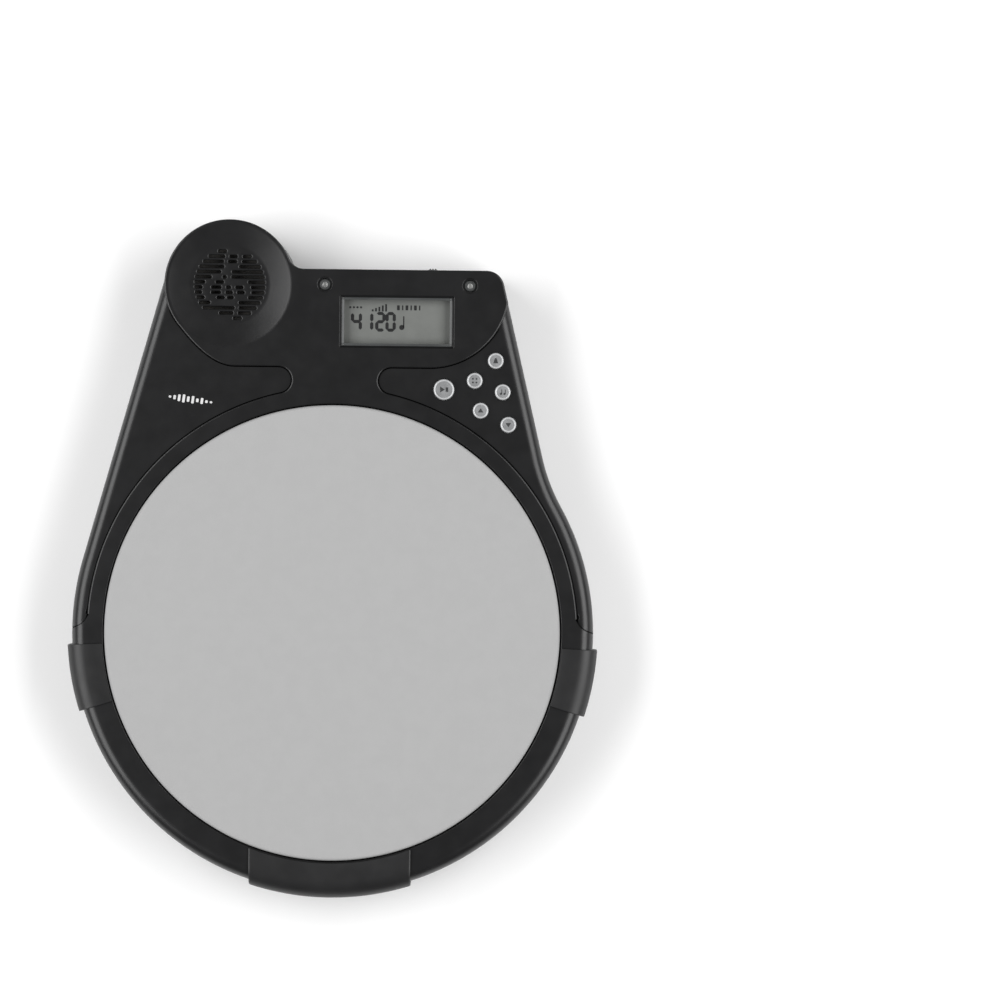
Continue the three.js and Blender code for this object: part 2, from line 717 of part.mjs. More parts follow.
const windowFace = tierTop - windowSink;
const windowPane = rectangle(windowX, windowY, windowLength - 2 * gap, windowWidth - 2 * gap);
add('lcd_window', prism(windowPane, windowFace - windowThickness, windowFace), 'clearPlastic');
const lcdPlan = rectangle(windowX, windowY, windowLength + 2 * lcdMargin, windowWidth + 2 * lcdMargin);
add('lcd_panel', prism(lcdPlan, lcdBottom, lcdBottom + lcdThickness), 'lcdGlass');

const boardMiddle = (mainBoardLeft + mainBoardRight) / 2;
const boardY = headTop - mainBoardBelowTop - mainBoardWidth / 2;
const boardPlan = rectangle(boardMiddle, boardY, mainBoardRight - mainBoardLeft, mainBoardWidth);
add('main_board', prism(boardPlan, boardTop - boardThickness, boardTop), 'greenBoard');

for (const [name, x] of [['led_left', ledLeftX], ['led_right', ledRightX]]) {
  const top = tierTop + ledProud;
  const base = roof - ledSeatDrop;
  const profile = [
    [0, base],
    [ledRadius + ledFlange, base],
    [ledRadius + ledFlange, base + ledFlangeHeight],
    [ledRadius, base + ledFlangeHeight],
    [ledRadius, top - ledDome],
    [ledRadius * 0.7, top - ledDome / 4],
    [0, top],
  ];
  add(name, turned(profile, x, headTop - ledBelowTop, 12), 'clearPlastic');
}

// ---- Buttons, their switches and board ----------------------------------------------------------

const flangeTop = roof - gap;
const flangeBottom = flangeTop - buttonFlangeHeight;
const tactTop = flangeBottom - buttonTravel - gap;
const buttonBoardTop = tactTop - tactHeight - gap;
for (const { name, x, y, radius } of buttons) {
  const top = wingTop + buttonProud;
  const profile = [
    [0, flangeBottom],
    [radius + buttonFlange, flangeBottom],
    [radius + buttonFlange, flangeTop],
    [radius, flangeTop],
    [radius, top - buttonEdge],
    [radius - buttonEdge, top],
    [0, top],
  ];
  add(name, turned(profile, x, y, 16), 'silverPlastic');
  const switchName = name.replace('button', 'tact_switch');
  add(switchName, box(x, y, tactTop - tactHeight / 2, tactSize, tactSize, tactHeight), 'steel');
}

// The board is the hull of a circle round each switch, kept as corner points in order.
function buttonBoardShape() {
  const corners = buttons.flatMap(({ x, y }) => arc(x, y, buttonBoardMargin, 0, 360).slice(1));
  const sorted = corners.sort((a, b) => a.x - b.x || a.y - b.y);
  const turn = (o, a, b) => (a.x - o.x) * (b.y - o.y) - (a.y - o.y) * (b.x - o.x);
  const halfHull = (points) => points.reduce((hull, point) => {
    const kept = [...hull];
    while (kept.length > 1 && turn(kept.at(-2), kept.at(-1), point) <= 0) {
      kept.pop();
    }
    return [...kept, point];
  }, []);
  const lower = halfHull(sorted);
  const upper = halfHull([...sorted].reverse());
  return shapeOf([...lower.slice(0, -1), ...upper.slice(0, -1)]);
}

add('button_board', prism(buttonBoardShape(), buttonBoardTop - boardThickness, buttonBoardTop), 'greenBoard');

// ---- Speaker ----------------------------------------------------------------------------------

const speakerTop = roof - gap;
const basketBottom = speakerTop - speakerDepth;
const seatTop = speakerTop - basketSeat;
const frameProfile = [
  [magnetRadius + 1, basketBottom],
  [speakerRadius - basketSeat, seatTop - basketSheet],
  [speakerRadius, seatTop - basketSheet],
  [speakerRadius, seatTop],
  [speakerRadius - basketLip, seatTop],
  [magnetRadius, basketBottom + basketSheet],
  [magnetRadius / 2, basketBottom + basketSheet],
  [magnetRadius / 2, basketBottom],
  [magnetRadius + 1, basketBottom],
];
add('speaker_frame', turned(frameProfile, lobeX, lobeY, 24), 'steel');
const coneLow = basketBottom + coneLift;
const coneProfile = [
  [0, coneLow],
  [coneHeart, coneLow],
  [speakerRadius - coneThickness, speakerTop - coneThickness],
  [speakerRadius - coneThickness, speakerTop],
  [speakerRadius - 2 * coneThickness, speakerTop],
  [coneHeart - coneThickness / 2, coneLow + coneThickness],
  [0, coneLow + coneThickness],
];
add('speaker_cone', turned(coneProfile, lobeX, lobeY, 24), 'paper');
const magnetTop = basketBottom - gap;
add('speaker_magnet', prism(circle(lobeX, lobeY, magnetRadius), magnetTop - magnetDepth, magnetTop), 'steel');

// ---- Controls and sockets in the top wall -------------------------------------------------------

const wallInner = headTop - wall;
const bodyMiddle = wallInner - gap - switchBodyDepth / 2;
const switchX = knobX + knobTravel / 2;
const switchBody = box(switchX, bodyMiddle, knobZ, switchBodyLength, switchBodyDepth, switchBodyHeight);
add('power_switch', switchBody, 'steel');
const knobMiddle = (wallInner + headTop + knobProud) / 2;
const knob = box(knobX, knobMiddle, knobZ, knobWidth, wall + knobProud, knobHeight);
add('power_switch_knob', knob, 'blackPlastic');
const wheelTop = wheelBottom + wheelThickness;
const wheelProfile = [
  [0, wheelBottom],
  [wheelRadius, wheelBottom],
  [wheelRadius, wheelTop],
  [0, wheelTop],
];
const wheel = toSolid(turned(wheelProfile, wheelX, wheelY, 36));
const shaftHole = prism(circle(wheelX, wheelY, wheelShaftRadius + gap), wheelBottom - 1, wheelTop + 1);
add('volume_wheel', cut(wheel, shaftHole), 'blackPlastic');
const potTop = wheelBottom - gap;
const potHeight = potTop - boardTop - gap;
const pot = toSolid(box(wheelX, wheelY, potTop - potHeight / 2, potSize, potSize, potHeight));
const shaft = prism(circle(wheelX, wheelY, wheelShaftRadius), potTop - 0.5, wheelTop);
add('volume_pot', join(pot, shaft), 'steel');
for (const { name, x, width, height, depth, bore } of jackLayout) {
  const back = wallInner - gap - depth / 2;
  const jack = toSolid(box(x, back, jackZ(height), width, depth, height));
  const barrel = barAlongY(x, wallInner - gap, jackZ(height), bore + jackBarrelWall, 2 * wall, 16);
  const hole = barAlongY(x, headTop - jackBoreDepth / 2, jackZ(height), bore, jackBoreDepth, 16);
  add(name, cut(join(jack, barrel), hole), 'blackPlastic');
}

// ---- Battery, its connector and door -------------------------------------------------------------

const batteryOuter = wallInside - 2 * gap;
const batteryTop = batteryBottom + batteryThickness;
const batteryInner = batteryOuter - batteryWidth;
const batteryStart = cellStart + 1;
const batteryEnd = batteryStart + batteryLength;
add(
  'battery',
  edgeBlock(batteryStart, batteryEnd, batteryInner, batteryOuter, batteryBottom, batteryTop),
  'batteryCan',
);
const snap = edgeBlock(
  batteryEnd + gap,
  batteryEnd + snapLength - gap,
  batteryInner + snapMargin,
  batteryOuter - snapMargin,
  batteryBottom + snapMargin,
  batteryTop - snapMargin,
);
add('battery_snap', snap, 'blackPlastic');

function batteryDoor() {
  const envelope = slopedSlab(0, caseBottom, parting, bottomChamfer, bottomChamfer, 'bottom');
  const outer = rimRadius + cutBeyond;
  const plate = edgeBlock(doorStart, doorEnd, boxInner, outer, caseBottom, caseBottom + doorThickness);
  const side = edgeBlock(doorStart, doorEnd, wallInside, outer, caseBottom, caseBottom + doorSideHeight);
  return join(toSolid(plate), side).intersect(envelope);
}

add('battery_door', batteryDoor(), 'blackPlastic');

// ---- Underside: stand nut, feet, rating plate, screws ---------------------------------------------

const nut = toSolid(prism(hexagon(nutRadius), nutBottom, nutTop));
add('stand_nut', cut(nut, prism(circle(0, 0, nutBore / 2), nutBottom - 1, nutTop + 1)), 'nickel');
const footPlan = rectangle(0, footY, footLength, footWidth, footCorner);
add('foot_pad_top', prism(footPlan, 0, footThickness), 'blackRubber');

// The curved feet are notched where the screws pass beside them.
function arcFoot(start, end) {
  const foot = toSolid(prism(sector(arcFootInner, arcFootOuter, start, end), 0, footThickness));
  const notches = screwPlaces.map(([x, y]) => circle(x, y, counterboreRadius + gap));
  return cut(foot, ...notches.map((notch) => prism(notch, -1, footThickness + 1)));
}

add('foot_pad_right', arcFoot(arcFootBottom, arcFootTop), 'blackRubber');
add('foot_pad_left', arcFoot(180 - arcFootTop, 180 - arcFootBottom), 'blackRubber');
const labelBottom = caseBottom + gap;
const labelPlan = rectangle(0, labelY, labelLength, labelWidth);
add('rating_label', prism(labelPlan, labelBottom, labelBottom + labelThickness), 'label');

const screwSeat = caseBottom + counterboreDepth - gap;
const screwProfile = [
  [0, screwSeat - screwHeadHeight],
  [screwHeadRadius, screwSeat - screwHeadHeight],
  [screwHeadRadius, screwSeat],
  [pilotRadius, screwSeat],
  [pilotRadius, parting + screwReach],
  [0, parting + screwReach],
];
screwPlaces.forEach(([x, y], index) => {
  add(`case_screw_${index + 1}`, turned(screwProfile, x, y, 8), 'steel');
});

// ---- Internal leads -------------------------------------------------------------------------------

function lead(points) {
  const path = new THREE.CatmullRomCurve3(points.map((point) => new THREE.Vector3(...point)));
  const steps = Math.max(4, Math.round(path.getLength() / (5 * leadRadius)));
  const section = Array.from({ length: 6 }, (_, i) => new THREE.Vector2(...polar(leadRadius, 60 * i)));
  return new THREE.ExtrudeGeometry(shapeOf(section), { steps, extrudePath: path, bevelEnabled: false });
}

const leadZ = boardTop - boardThickness / 2;
const boardLow = boardY - mainBoardWidth / 2;
const leadStart = piezoTop - piezoThickness - leadRadius - gap;
const leadLevel = trayFloorBottom - 2;
// Each lead's own places are hand-laid through the free room inside the case.
const sensorRun = [
  [0, 9, leadStart],
  [0, 13, trayFloorBottom - 1],
  [0, 22, leadLevel],
  [0, boardLow - 16, leadLevel],
  [0, boardLow - 2, leadZ],
];
add('sensor_lead', lead(sensorRun), 'wire');
const speakerRun = [
  [lobeX + 12.5, lobeY - 5, basketBottom + 1.6],
  [lobeX + 16, lobeY - 7, leadZ + 1],
  [mainBoardLeft - leadEnd, lobeY - 9, leadZ],
];
add('speaker_lead', lead(speakerRun), 'wire');
const batteryRun = [
  [boxEnd - boxWall - 0.9, snapMiddle],
  [boxEnd + 2, snapMiddle],
  [boxEnd + 4.5, snapMiddle - 4],
  [boxEnd + 4.5, boxInner - 2],
].map(([x, y]) => [...edgePoint(x, y), parting]);
batteryRun.push([mainBoardLeft - 10, lobeY - 17, leadZ], [mainBoardLeft - leadEnd, lobeY - 16, leadZ]);
add('battery_lead', lead(batteryRun), 'wire');

// ---- Origin: middle of the box's underside --------------------------------------------------------

const lowestY = -(rimRadius + gap + guardThickness);
const highestY = lobeY + lobeRadius;
object.position.y = -(lowestY + highestY) / 2;
object.updateMatrixWorld(true);

export default object;
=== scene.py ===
"""The looks of a battery-powered practice drum pad, built round its packed mechanical model.

Sizes are millimetres about the middle of the round pad unless said otherwise: x to the right,
y towards the display, z up from the table.
"""

import math

import bmesh
import bpy
import numpy as np
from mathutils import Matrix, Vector
from mathutils.geometry import delaunay_2d_cdt


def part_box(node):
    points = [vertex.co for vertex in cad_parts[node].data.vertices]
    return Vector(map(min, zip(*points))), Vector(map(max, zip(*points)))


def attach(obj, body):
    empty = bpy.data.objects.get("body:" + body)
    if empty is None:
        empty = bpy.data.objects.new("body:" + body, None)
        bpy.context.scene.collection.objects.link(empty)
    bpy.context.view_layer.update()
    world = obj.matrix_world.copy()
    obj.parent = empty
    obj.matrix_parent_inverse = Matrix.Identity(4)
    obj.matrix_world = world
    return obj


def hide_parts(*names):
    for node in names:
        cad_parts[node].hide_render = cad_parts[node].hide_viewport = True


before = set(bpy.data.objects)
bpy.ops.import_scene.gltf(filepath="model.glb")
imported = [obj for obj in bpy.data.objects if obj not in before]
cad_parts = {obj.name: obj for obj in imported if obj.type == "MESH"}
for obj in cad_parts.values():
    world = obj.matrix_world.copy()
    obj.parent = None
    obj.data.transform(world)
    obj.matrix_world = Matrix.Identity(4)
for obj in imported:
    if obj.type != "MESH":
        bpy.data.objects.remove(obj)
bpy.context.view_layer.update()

# ==== Bottom cover ====
# The lower half of the case: one black ABS moulding with a spark-grained outside. It carries the
# round stand recess with its four spokes, the battery bay, and wells for the eight case screws.

MM = 0.001
middle = (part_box("playing_pad")[0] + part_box("playing_pad")[1]) / 2

RIM = 116.7  # radius of the case's rim
LOBE_X, LOBE_Y, LOBE = -47.5, 155.0, 29.1  # the speaker lobe's middle and radius
TOP = 162.4  # y of the straight top wall
SOCKETS_RIGHT, SOCKETS_LEFT = 66.0, -13.5  # the length of it that holds the sockets
SIDE, REACH = 13.2, 108.74  # the right-hand edge's outward direction, and its distance that way

# Outward direction of the straight left-hand edge, tangent to the rim and the speaker lobe
EDGE = math.degrees(math.atan2(LOBE_Y, LOBE_X) + math.acos((RIM - LOBE) / math.hypot(LOBE_X, LOBE_Y)))
DOOR_LOW, DOOR_HIGH = 56.76, 121.36  # the battery door's opening along the left edge


def polar(radius, angle):
    """The points (radius cos a, radius sin a); either may be an array."""
    a = np.radians(angle)
    return np.stack([radius * np.cos(a), radius * np.sin(a)], axis=-1)


def arc(x, y, radius, start, end, count):
    """count points (x + radius cos a, y + radius sin a), a going evenly from start to end degrees."""
    return polar(radius, np.linspace(start, end, count)) + (x, y)


def line(start, end, count):
    """count points spaced evenly from start to end."""
    t = np.linspace(0, 1, count)[:, None]
    return (1 - t) * np.asarray(start, float) + t * np.asarray(end, float)


def bend(start, corner, end, count=6):
    """The parabola (1-t)^2 start + 2t(1-t) corner + t^2 end, which rounds a corner."""
    t = np.linspace(0, 1, count)[:, None]
    start, corner, end = (np.asarray(p, float) for p in (start, corner, end))
    return (1 - t) ** 2 * start + 2 * t * (1 - t) * corner + t**2 * end


def edge_place(points):
    """(u, v) or (u, v, z), u up the straight left edge and v outwards, turned into x, y or x, y, z."""
    points = np.asarray(points, float)
    u, v = points[..., 0], points[..., 1]
    s, c = math.sin(math.radians(EDGE)), math.cos(math.radians(EDGE))
    flat = np.stack([u * s + v * c, -u * c + v * s], axis=-1)
    return np.concatenate([flat, points[..., 2:]], axis=-1)


def outline(inset=0.0):
    """The case from above, moved inwards by inset, as named runs of points going anticlockwise.
    Rim, hollow waist, corner, fillet and lobe are arcs tangent to the lines between them, and each
    run has the same number of points for every inset, so that outlines can be stacked."""
    rim, lobe, top = RIM - inset, LOBE - inset, TOP - inset
    corner, waist, fillet, side = 8.0 - min(inset, 7.0), 85.0 + inset, 7.0 + inset, REACH - inset
    turn = SIDE + math.degrees(math.acos((side + waist) / (rim + waist)))
    waist_x, waist_y = polar(rim + waist, turn)
    corner_y = top - corner
    corner_x = (side - corner - corner_y * math.sin(math.radians(SIDE))) / math.cos(math.radians(SIDE))
    fillet_y = top + fillet
    fillet_x = LOBE_X + math.sqrt((lobe + fillet) ** 2 - (fillet_y - LOBE_Y) ** 2)
    fillet_turn = math.degrees(math.atan2(fillet_y - LOBE_Y, fillet_x - LOBE_X))
    along = polar(1.0, SIDE + 90)
    waist_end = arc(waist_x, waist_y, waist, SIDE + 180, SIDE + 180, 1)[0] @ along
    corner_start = arc(corner_x, corner_y, corner, SIDE, SIDE, 1)[0] @ along
    lobe_touch = math.sqrt(LOBE_X**2 + LOBE_Y**2 - (RIM - LOBE) ** 2)

    def right(start, end, count):
        return line(*(side * polar(1.0, SIDE) + s * along for s in (start, end)), count)

    def left(start, end, count):
        return line(edge_place([start, rim]), edge_place([end, rim]), count)

    runs = {
        "left_low": left(DOOR_LOW, 0, 5),
        "rim_left": arc(0, 0, rim, EDGE, 183, 12),
        "rim_low": arc(0, 0, rim, 183, 357, 150),
        "rim_right": arc(0, 0, rim, 357, 360 + turn, 26),
        "waist": arc(waist_x, waist_y, waist, turn + 180, SIDE + 180, 18),
        "side": right(waist_end, 119.5, 8),
        "side_high": right(119.5, corner_start, 5),
        "corner": arc(corner_x, corner_y, corner, SIDE, 90, 16),
        "top_right": line([corner_x, top], [SOCKETS_RIGHT, top], 2),
        "top": line([SOCKETS_RIGHT, top], [SOCKETS_LEFT, top], 12),
        "top_left": line([SOCKETS_LEFT, top], [fillet_x, top], 2),
        "fillet": arc(fillet_x, fillet_y, fillet, 270, fillet_turn + 180, 14),
        "lobe": arc(LOBE_X, LOBE_Y, lobe, fillet_turn, EDGE, 64),
        "left_high": left(lobe_touch, DOOR_HIGH, 4),
        "door": left(DOOR_HIGH, DOOR_LOW, 9),
    }
    return {name: points[:-1] for name, points in runs.items()}


def path(inset, first, last):
    """The outline's runs from first to last, ended by the following run's first point."""
    runs = outline(inset)
    names = list(runs)
    start, end = names.index(first), names.index(last)
    chosen = [runs[name] for name in names[start : end + 1]]
    return np.concatenate([*chosen, runs[names[(end + 1) % len(names)]][:1]])


def lift(loop, z):
    """A loop of (x, y) points put at height z."""
    return np.column_stack([loop, np.full(len(loop), float(z))])


def moved(loop, distance, closed=True):
    """The loop with each point moved to its right by distance along the mitre m of its two edges:
    p + distance (n1 + n2) / (1 + n1.n2), where n1 and n2 are the edges' normals."""
    loop = np.asarray(loop, float)
    step = np.roll(loop, -1, axis=0) - loop
    normal = np.stack([step[:, 1], -step[:, 0]], axis=1)
    normal /= np.maximum(np.linalg.norm(normal, axis=1, keepdims=True), 1e-9)
    before = np.roll(normal, 1, axis=0)
    if not closed:
        normal[-1] = normal[-2]
        before[0], before[-1] = normal[0], normal[-2]
    share = np.maximum(1 + (normal * before).sum(axis=1, keepdims=True), 0.3)
    return loop + distance * (normal + before) / share


def strip(rings, closed=True, flip=False):
    """Skin over a stack of equal rings. It faces outwards when they run anticlockwise and are
    stacked downwards, or inwards with flip."""
    rings = np.asarray(rings, float)
    rows, count = rings.shape[:2]
    r = np.arange(rows - 1)[:, None] * count
    c = np.arange(count if closed else count - 1)[None, :]
    n = (c + 1) % count
    quads = np.stack([r + c, r + count + c, r + count + n, r + n], axis=-1).reshape(-1, 4)
    return rings.reshape(-1, 3), quads[:, ::-1] if flip else quads


def skirt(loop, z, profile, closed=True, flip=False):
    """Carries a profile of (outwards, upwards) steps round a loop that lies at height z."""
    rings = [lift(moved(loop, out, closed), z + up) for out, up in profile]
    return strip(rings, closed, flip)


def rounded(radius, out, up, steps=4):
    """A quarter circle's profile: out and up are +1 or -1, the way it leaves from the loop's level
    edge; it starts at (-out radius, 0) and ends at (0, up radius)."""
    a = np.linspace(0, math.pi / 2, steps + 1)
    return [(out * radius * (math.sin(t) - 1), up * radius * (1 - math.cos(t))) for t in a]


def lip(radius, out, up, depth):
    """A narrow level margin, a quarter round, then a straight side down to depth."""
    return [(-out * (radius + 0.2), 0), *rounded(radius, out, up), (0, up * depth)]


def panel(z, outer, *holes, up=True):
    """A level skin inside the loop outer and outside the loops holes, facing up or down."""
    loops = [np.asarray(loop, float)[:, :2] for loop in (outer, *holes)]
    starts = np.cumsum([0, *map(len, loops)])
    rings = [list(range(a, b)) for a, b in zip(starts[:-1], starts[1:])]
    flat = [Vector(p) for p in np.concatenate(loops)]
    points, _, faces, *_ = delaunay_2d_cdt(flat, [], rings, 2, 1e-6)
    points = np.array([tuple(p) for p in points])
    faces = np.array(faces)
    a, b, c = (points[faces[:, k]] for k in range(3))
    turn = (b[:, 0] - a[:, 0]) * (c[:, 1] - a[:, 1]) - (b[:, 1] - a[:, 1]) * (c[:, 0] - a[:, 0])
    wrong = (turn > 0) != up
    faces[wrong] = faces[wrong][:, ::-1]
    return lift(points, z), faces


def plate(*corners):
    """One flat face through its corners, anticlockwise as seen from the side it faces."""
    return np.asarray(corners, float), [list(range(len(corners)))]


def rectangle(x, y, length, width, corner=0.0, count=5):
    """A rectangle's loop about (x, y) with rounded corners, anticlockwise."""
    a, b = length / 2 - corner, width / 2 - corner
    if corner == 0:
        return np.array([[x + a, y - b], [x + a, y + b], [x - a, y + b], [x - a, y - b]])
    places = [(a, -b, 270), (a, b, 0), (-a, b, 90), (-a, -b, 180)]
    return np.concatenate([arc(x + i, y + j, corner, t, t + 90, count) for i, j, t in places])


def circle(x, y, radius, count):
    """A circle's loop, anticlockwise."""
    return arc(x, y, radius, 0, 360, count + 1)[:-1]


def piece(name, parts, materials, body="case", crisp=32):
    """One object from parts (points, faces[, material number]): points that meet are joined, and
    edges that turn by more than crisp degrees stay sharp."""
    mesh = bpy.data.meshes.new(name)
    points = np.concatenate([part[0] for part in parts]) * MM + np.array([middle.x, middle.y, 0])
    starts = np.cumsum([0, *(len(part[0]) for part in parts)])
    faces = [[int(i) + s for i in face] for part, s in zip(parts, starts) for face in part[1]]
    numbers = [part[2] if len(part) > 2 else 0 for part in parts for _ in part[1]]
    mesh.from_pydata(points.tolist(), [], faces)
    mesh.polygons.foreach_set("material_index", numbers)
    joined = bmesh.new()
    joined.from_mesh(mesh)
    bmesh.ops.remove_doubles(joined, verts=joined.verts, dist=0.004 * MM)
    joined.to_mesh(mesh)
    joined.free()
    for material in materials:
        mesh.materials.append(material)
    mesh.polygons.foreach_set("use_smooth", np.ones(len(mesh.polygons), bool))
    mesh.set_sharp_from_angle(angle=math.radians(crisp))
    thing = bpy.data.objects.new(name, mesh)
    bpy.context.scene.collection.objects.link(thing)
    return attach(thing, body)


def linear(code):
    """An sRGB hex colour as linear red, green, blue and alpha."""
    values = np.array([int(code[i : i + 2], 16) for i in (0, 2, 4)]) / 255
    curve = np.where(values <= 0.04045, values / 12.92, ((values + 0.055) / 1.055) ** 2.4)
    return (*curve.tolist(), 1.0)


def put(tree, kind, links=None, **settings):
    """Adds a shader node: settings are its properties or its open inputs, by name, and links join
    its inputs to the outputs of other nodes."""
    node = tree.nodes.new("ShaderNode" + kind)
    for name, value in settings.items():
        if name in node.bl_rna.properties:
            setattr(node, name, value)
        else:
            node.inputs[name.replace("_", " ")].default_value = value
    for name, (source, output) in (links or {}).items():
        tree.links.new(source.outputs[output], node.inputs[name])
    return node


def surface(name, dark, light, rough, patch, grain, depth, **shader):
    """A finish that drifts between two colours and two roughnesses over patches of patch mm, with
    a grain of grain mm standing depth mm high. shader sets the main shader's own inputs."""
    material = bpy.data.materials.new(name)
    material.use_nodes = True
    tree = material.node_tree
    main = tree.nodes["Principled BSDF"]
    place = put(tree, "TexCoord")
    drift = put(tree, "TexNoise", {"Vector": (place, "Object")}, Scale=1 / (patch * MM), Detail=4.0)
    tones = put(tree, "ValToRGB", {"Fac": (drift, "Fac")})
    for stop, position, colour in zip(tones.color_ramp.elements, (0.36, 0.64), (dark, light)):
        stop.position, stop.color = position, linear(colour)
    sheen = put(tree, "MapRange", {"Value": (drift, "Fac")}, From_Min=0.3, From_Max=0.7,
        To_Min=rough[0], To_Max=rough[1])
    grains = put(tree, "TexNoise", {"Vector": (place, "Object")}, Scale=1 / (grain * MM), Detail=2.0)
    relief = put(tree, "Bump", {"Height": (grains, "Fac")}, Distance=depth * MM)
    tree.links.new(tones.outputs["Color"], main.inputs["Base Color"])
    tree.links.new(sheen.outputs["Result"], main.inputs["Roughness"])
    tree.links.new(relief.outputs["Normal"], main.inputs["Normal"])
    for key, value in shader.items():
        main.inputs[key.replace("_", " ")].default_value = value
    return material


# Black ABS out of a spark-eroded mould: an even matt grain about a third of a millimetre across
grained_abs = surface("grained_black_abs", "151516", "18181a", (0.38, 0.42), 9, 0.35, 0.01)

SCREWS = 109.0  # the circle on which six of the case screws lie
SCREW_MIDDLE, SCREW_LOW = -11, -61.06  # directions of the two at the right-hand foot
screw_turns = np.array([38.8, 141.2, SCREW_MIDDLE, 180 - SCREW_MIDDLE, SCREW_LOW, 180 - SCREW_LOW])
screw_places = [*polar(SCREWS, screw_turns), (-70.2, 155.6), (67.9, 155.4)]
lower_edge = [(-2.5 + 2.5 * math.sin(a), 3.5 - 2.5 * math.cos(a)) for a in np.linspace(math.pi / 2, 0, 7)]
wall_profile = [(-2.2, 6), (-2.2, 15), (-0.3, 15), (0, 14.7), *lower_edge, (-2.75, 1)]
NOTCH, LEDGE = 85.3, 114.2  # how far out the door's notch starts, and where it turns up
SEAT, NOTCH_TOP = 3.3, 13.3  # heights of the notch under the case and up its side
door_end = [(NOTCH, 1), *((RIM + out, z) for out, z in wall_profile[:3:-1]),
    (RIM, NOTCH_TOP), (LEDGE, NOTCH_TOP), (LEDGE, SEAT), (NOTCH, SEAT)]

parts = [strip([lift(path(-out, "left_low", "left_high"), z) for out, z in wall_profile], closed=False)]
over_door = [(-2.2, NOTCH_TOP), *wall_profile[1:4], (0, NOTCH_TOP), (-2.2, NOTCH_TOP)]
parts += [strip([lift(path(-out, "door", "door"), z) for out, z in over_door], closed=False)]
well_rings = [circle(x, y, 3.1, 20) for x, y in screw_places]
LABEL_Y = 145.3
label_ring = rectangle(0, LABEL_Y, 54.3, 20.6, 0.4, 3)
notch = edge_place([(DOOR_HIGH, NOTCH), (DOOR_LOW, NOTCH)])
underside = np.concatenate([path(2.75, "left_low", "left_high"), notch])
parts += [panel(1, underside, circle(0, 0, 82.5, 144), moved(label_ring, 0.4),
    *(moved(ring, 0.5) for ring in well_rings), up=False)]
parts += [skirt(ring, 1, [*lip(0.3, -1, 1, 8), (-1.3, 8)]) for ring in well_rings]
parts += [skirt(label_ring, 1, lip(0.2, -1, 1, 0.6)), panel(1.6, label_ring, up=False)]

# The battery bay: notch for the door, its seat, and the cell's walls and roof
CELL_LOW, CELL_HIGH = 63.26, 118.76  # the cell's room up the edge, and outwards, and its roof
CELL_IN, CELL_OUT, ROOF = 87.1, 114.4, 21.4
bay = [(DOOR_LOW, NOTCH), (DOOR_HIGH, NOTCH), (DOOR_HIGH, LEDGE), (CELL_HIGH, LEDGE), (CELL_HIGH, CELL_IN),
    (CELL_LOW, CELL_IN), (CELL_LOW, LEDGE), (DOOR_LOW, LEDGE)]
parts += [plate(*edge_place([(DOOR_LOW, v, z) for v, z in door_end]))]
parts += [plate(*edge_place([(DOOR_HIGH, v, z) for v, z in door_end[::-1]]))]
parts += [plate(*edge_place([(u, v, SEAT) for u, v in bay[::-1]]))]
parts += [plate(*edge_place([(u, v, z) for (u, v), z in zip((a, a, b, b), (low, high, high, low))]))
    for a, b, low, high in (
        ((DOOR_LOW, NOTCH), (DOOR_HIGH, NOTCH), 1, SEAT),
        ((CELL_LOW, CELL_IN), (CELL_HIGH, CELL_IN), SEAT, ROOF),
        ((CELL_LOW, CELL_OUT), (CELL_LOW, CELL_IN), SEAT, ROOF),
        ((CELL_HIGH, CELL_IN), (CELL_HIGH, CELL_OUT), SEAT, ROOF),
        ((CELL_HIGH, CELL_OUT), (CELL_LOW, CELL_OUT), NOTCH_TOP, ROOF))]
parts += [plate(*edge_place([(CELL_LOW, CELL_IN, ROOF), (CELL_LOW, CELL_OUT, ROOF),
    (CELL_HIGH, CELL_OUT, ROOF), (CELL_HIGH, CELL_IN, ROOF)]))]

# The round recess, and the hub with four spokes standing in it
HUB, SPOKE_END, HUB_Z = 35.7, 81.0, 6  # the hub's radius, the spokes' reach and their height
recess = [(82.5, 1), (82.3, 1), (82.05, 1.1), (81.9, 1.4), (80.3, 8.3), (80.0, 8.8), (79.4, 9), (79.0, 9)]
parts += [strip([lift(circle(0, 0, r, 144), z) for r, z in recess])]
parts += [panel(9, circle(0, 0, 79.0, 144), circle(0, 0, 33, 48), up=False)]
cross = []
for spoke in (0, 90, 180, 270):
    for side, angle in ((1, spoke + 21.5), (-1, spoke + 68.5)):
        rim_point = polar(SPOKE_END, angle)
        round_in = bend(polar(HUB + 4.5, angle), polar(HUB, angle), polar(HUB, angle + side * 7), 7)
        if side > 0:
            cross += [rim_point, *round_in, *polar(HUB, np.linspace(angle + 10, spoke + 58, 8))]
        else:
            cross += [*round_in[::-1], rim_point]
            cross += [*polar(SPOKE_END, np.linspace(angle + 3, spoke + 108, 12))]
cross = np.array(cross)
NUT, NUT_TURN = 12.5, 43.6  # the stand nut's half width across its flats, and how far it is turned
nut_ring = polar(NUT / math.cos(math.pi / 6) + 0.3, NUT_TURN + 60 * np.arange(6))
DATE_Y = 31.8
date_ring = circle(0, DATE_Y, 6.0, 40)
parts += [panel(HUB_Z, moved(cross, -2.3), moved(nut_ring, 0.45), moved(date_ring, 0.25), up=False)]
parts += [skirt(cross, HUB_Z, [(-2.3, 0), *rounded(2.1, 1, 1, 7), (0.3, 2.7), (0.8, 3)], flip=True)]
parts += [skirt(nut_ring, HUB_Z, lip(0.25, -1, 1, 6.8))]
date_steps = [(0.25, 0), (0, 0.25), (-0.6, 0.25), (-0.8, 0), (-1.4, 0), (-1.6, 0.2), (-2.0, 0.2), (-2.2, 0)]
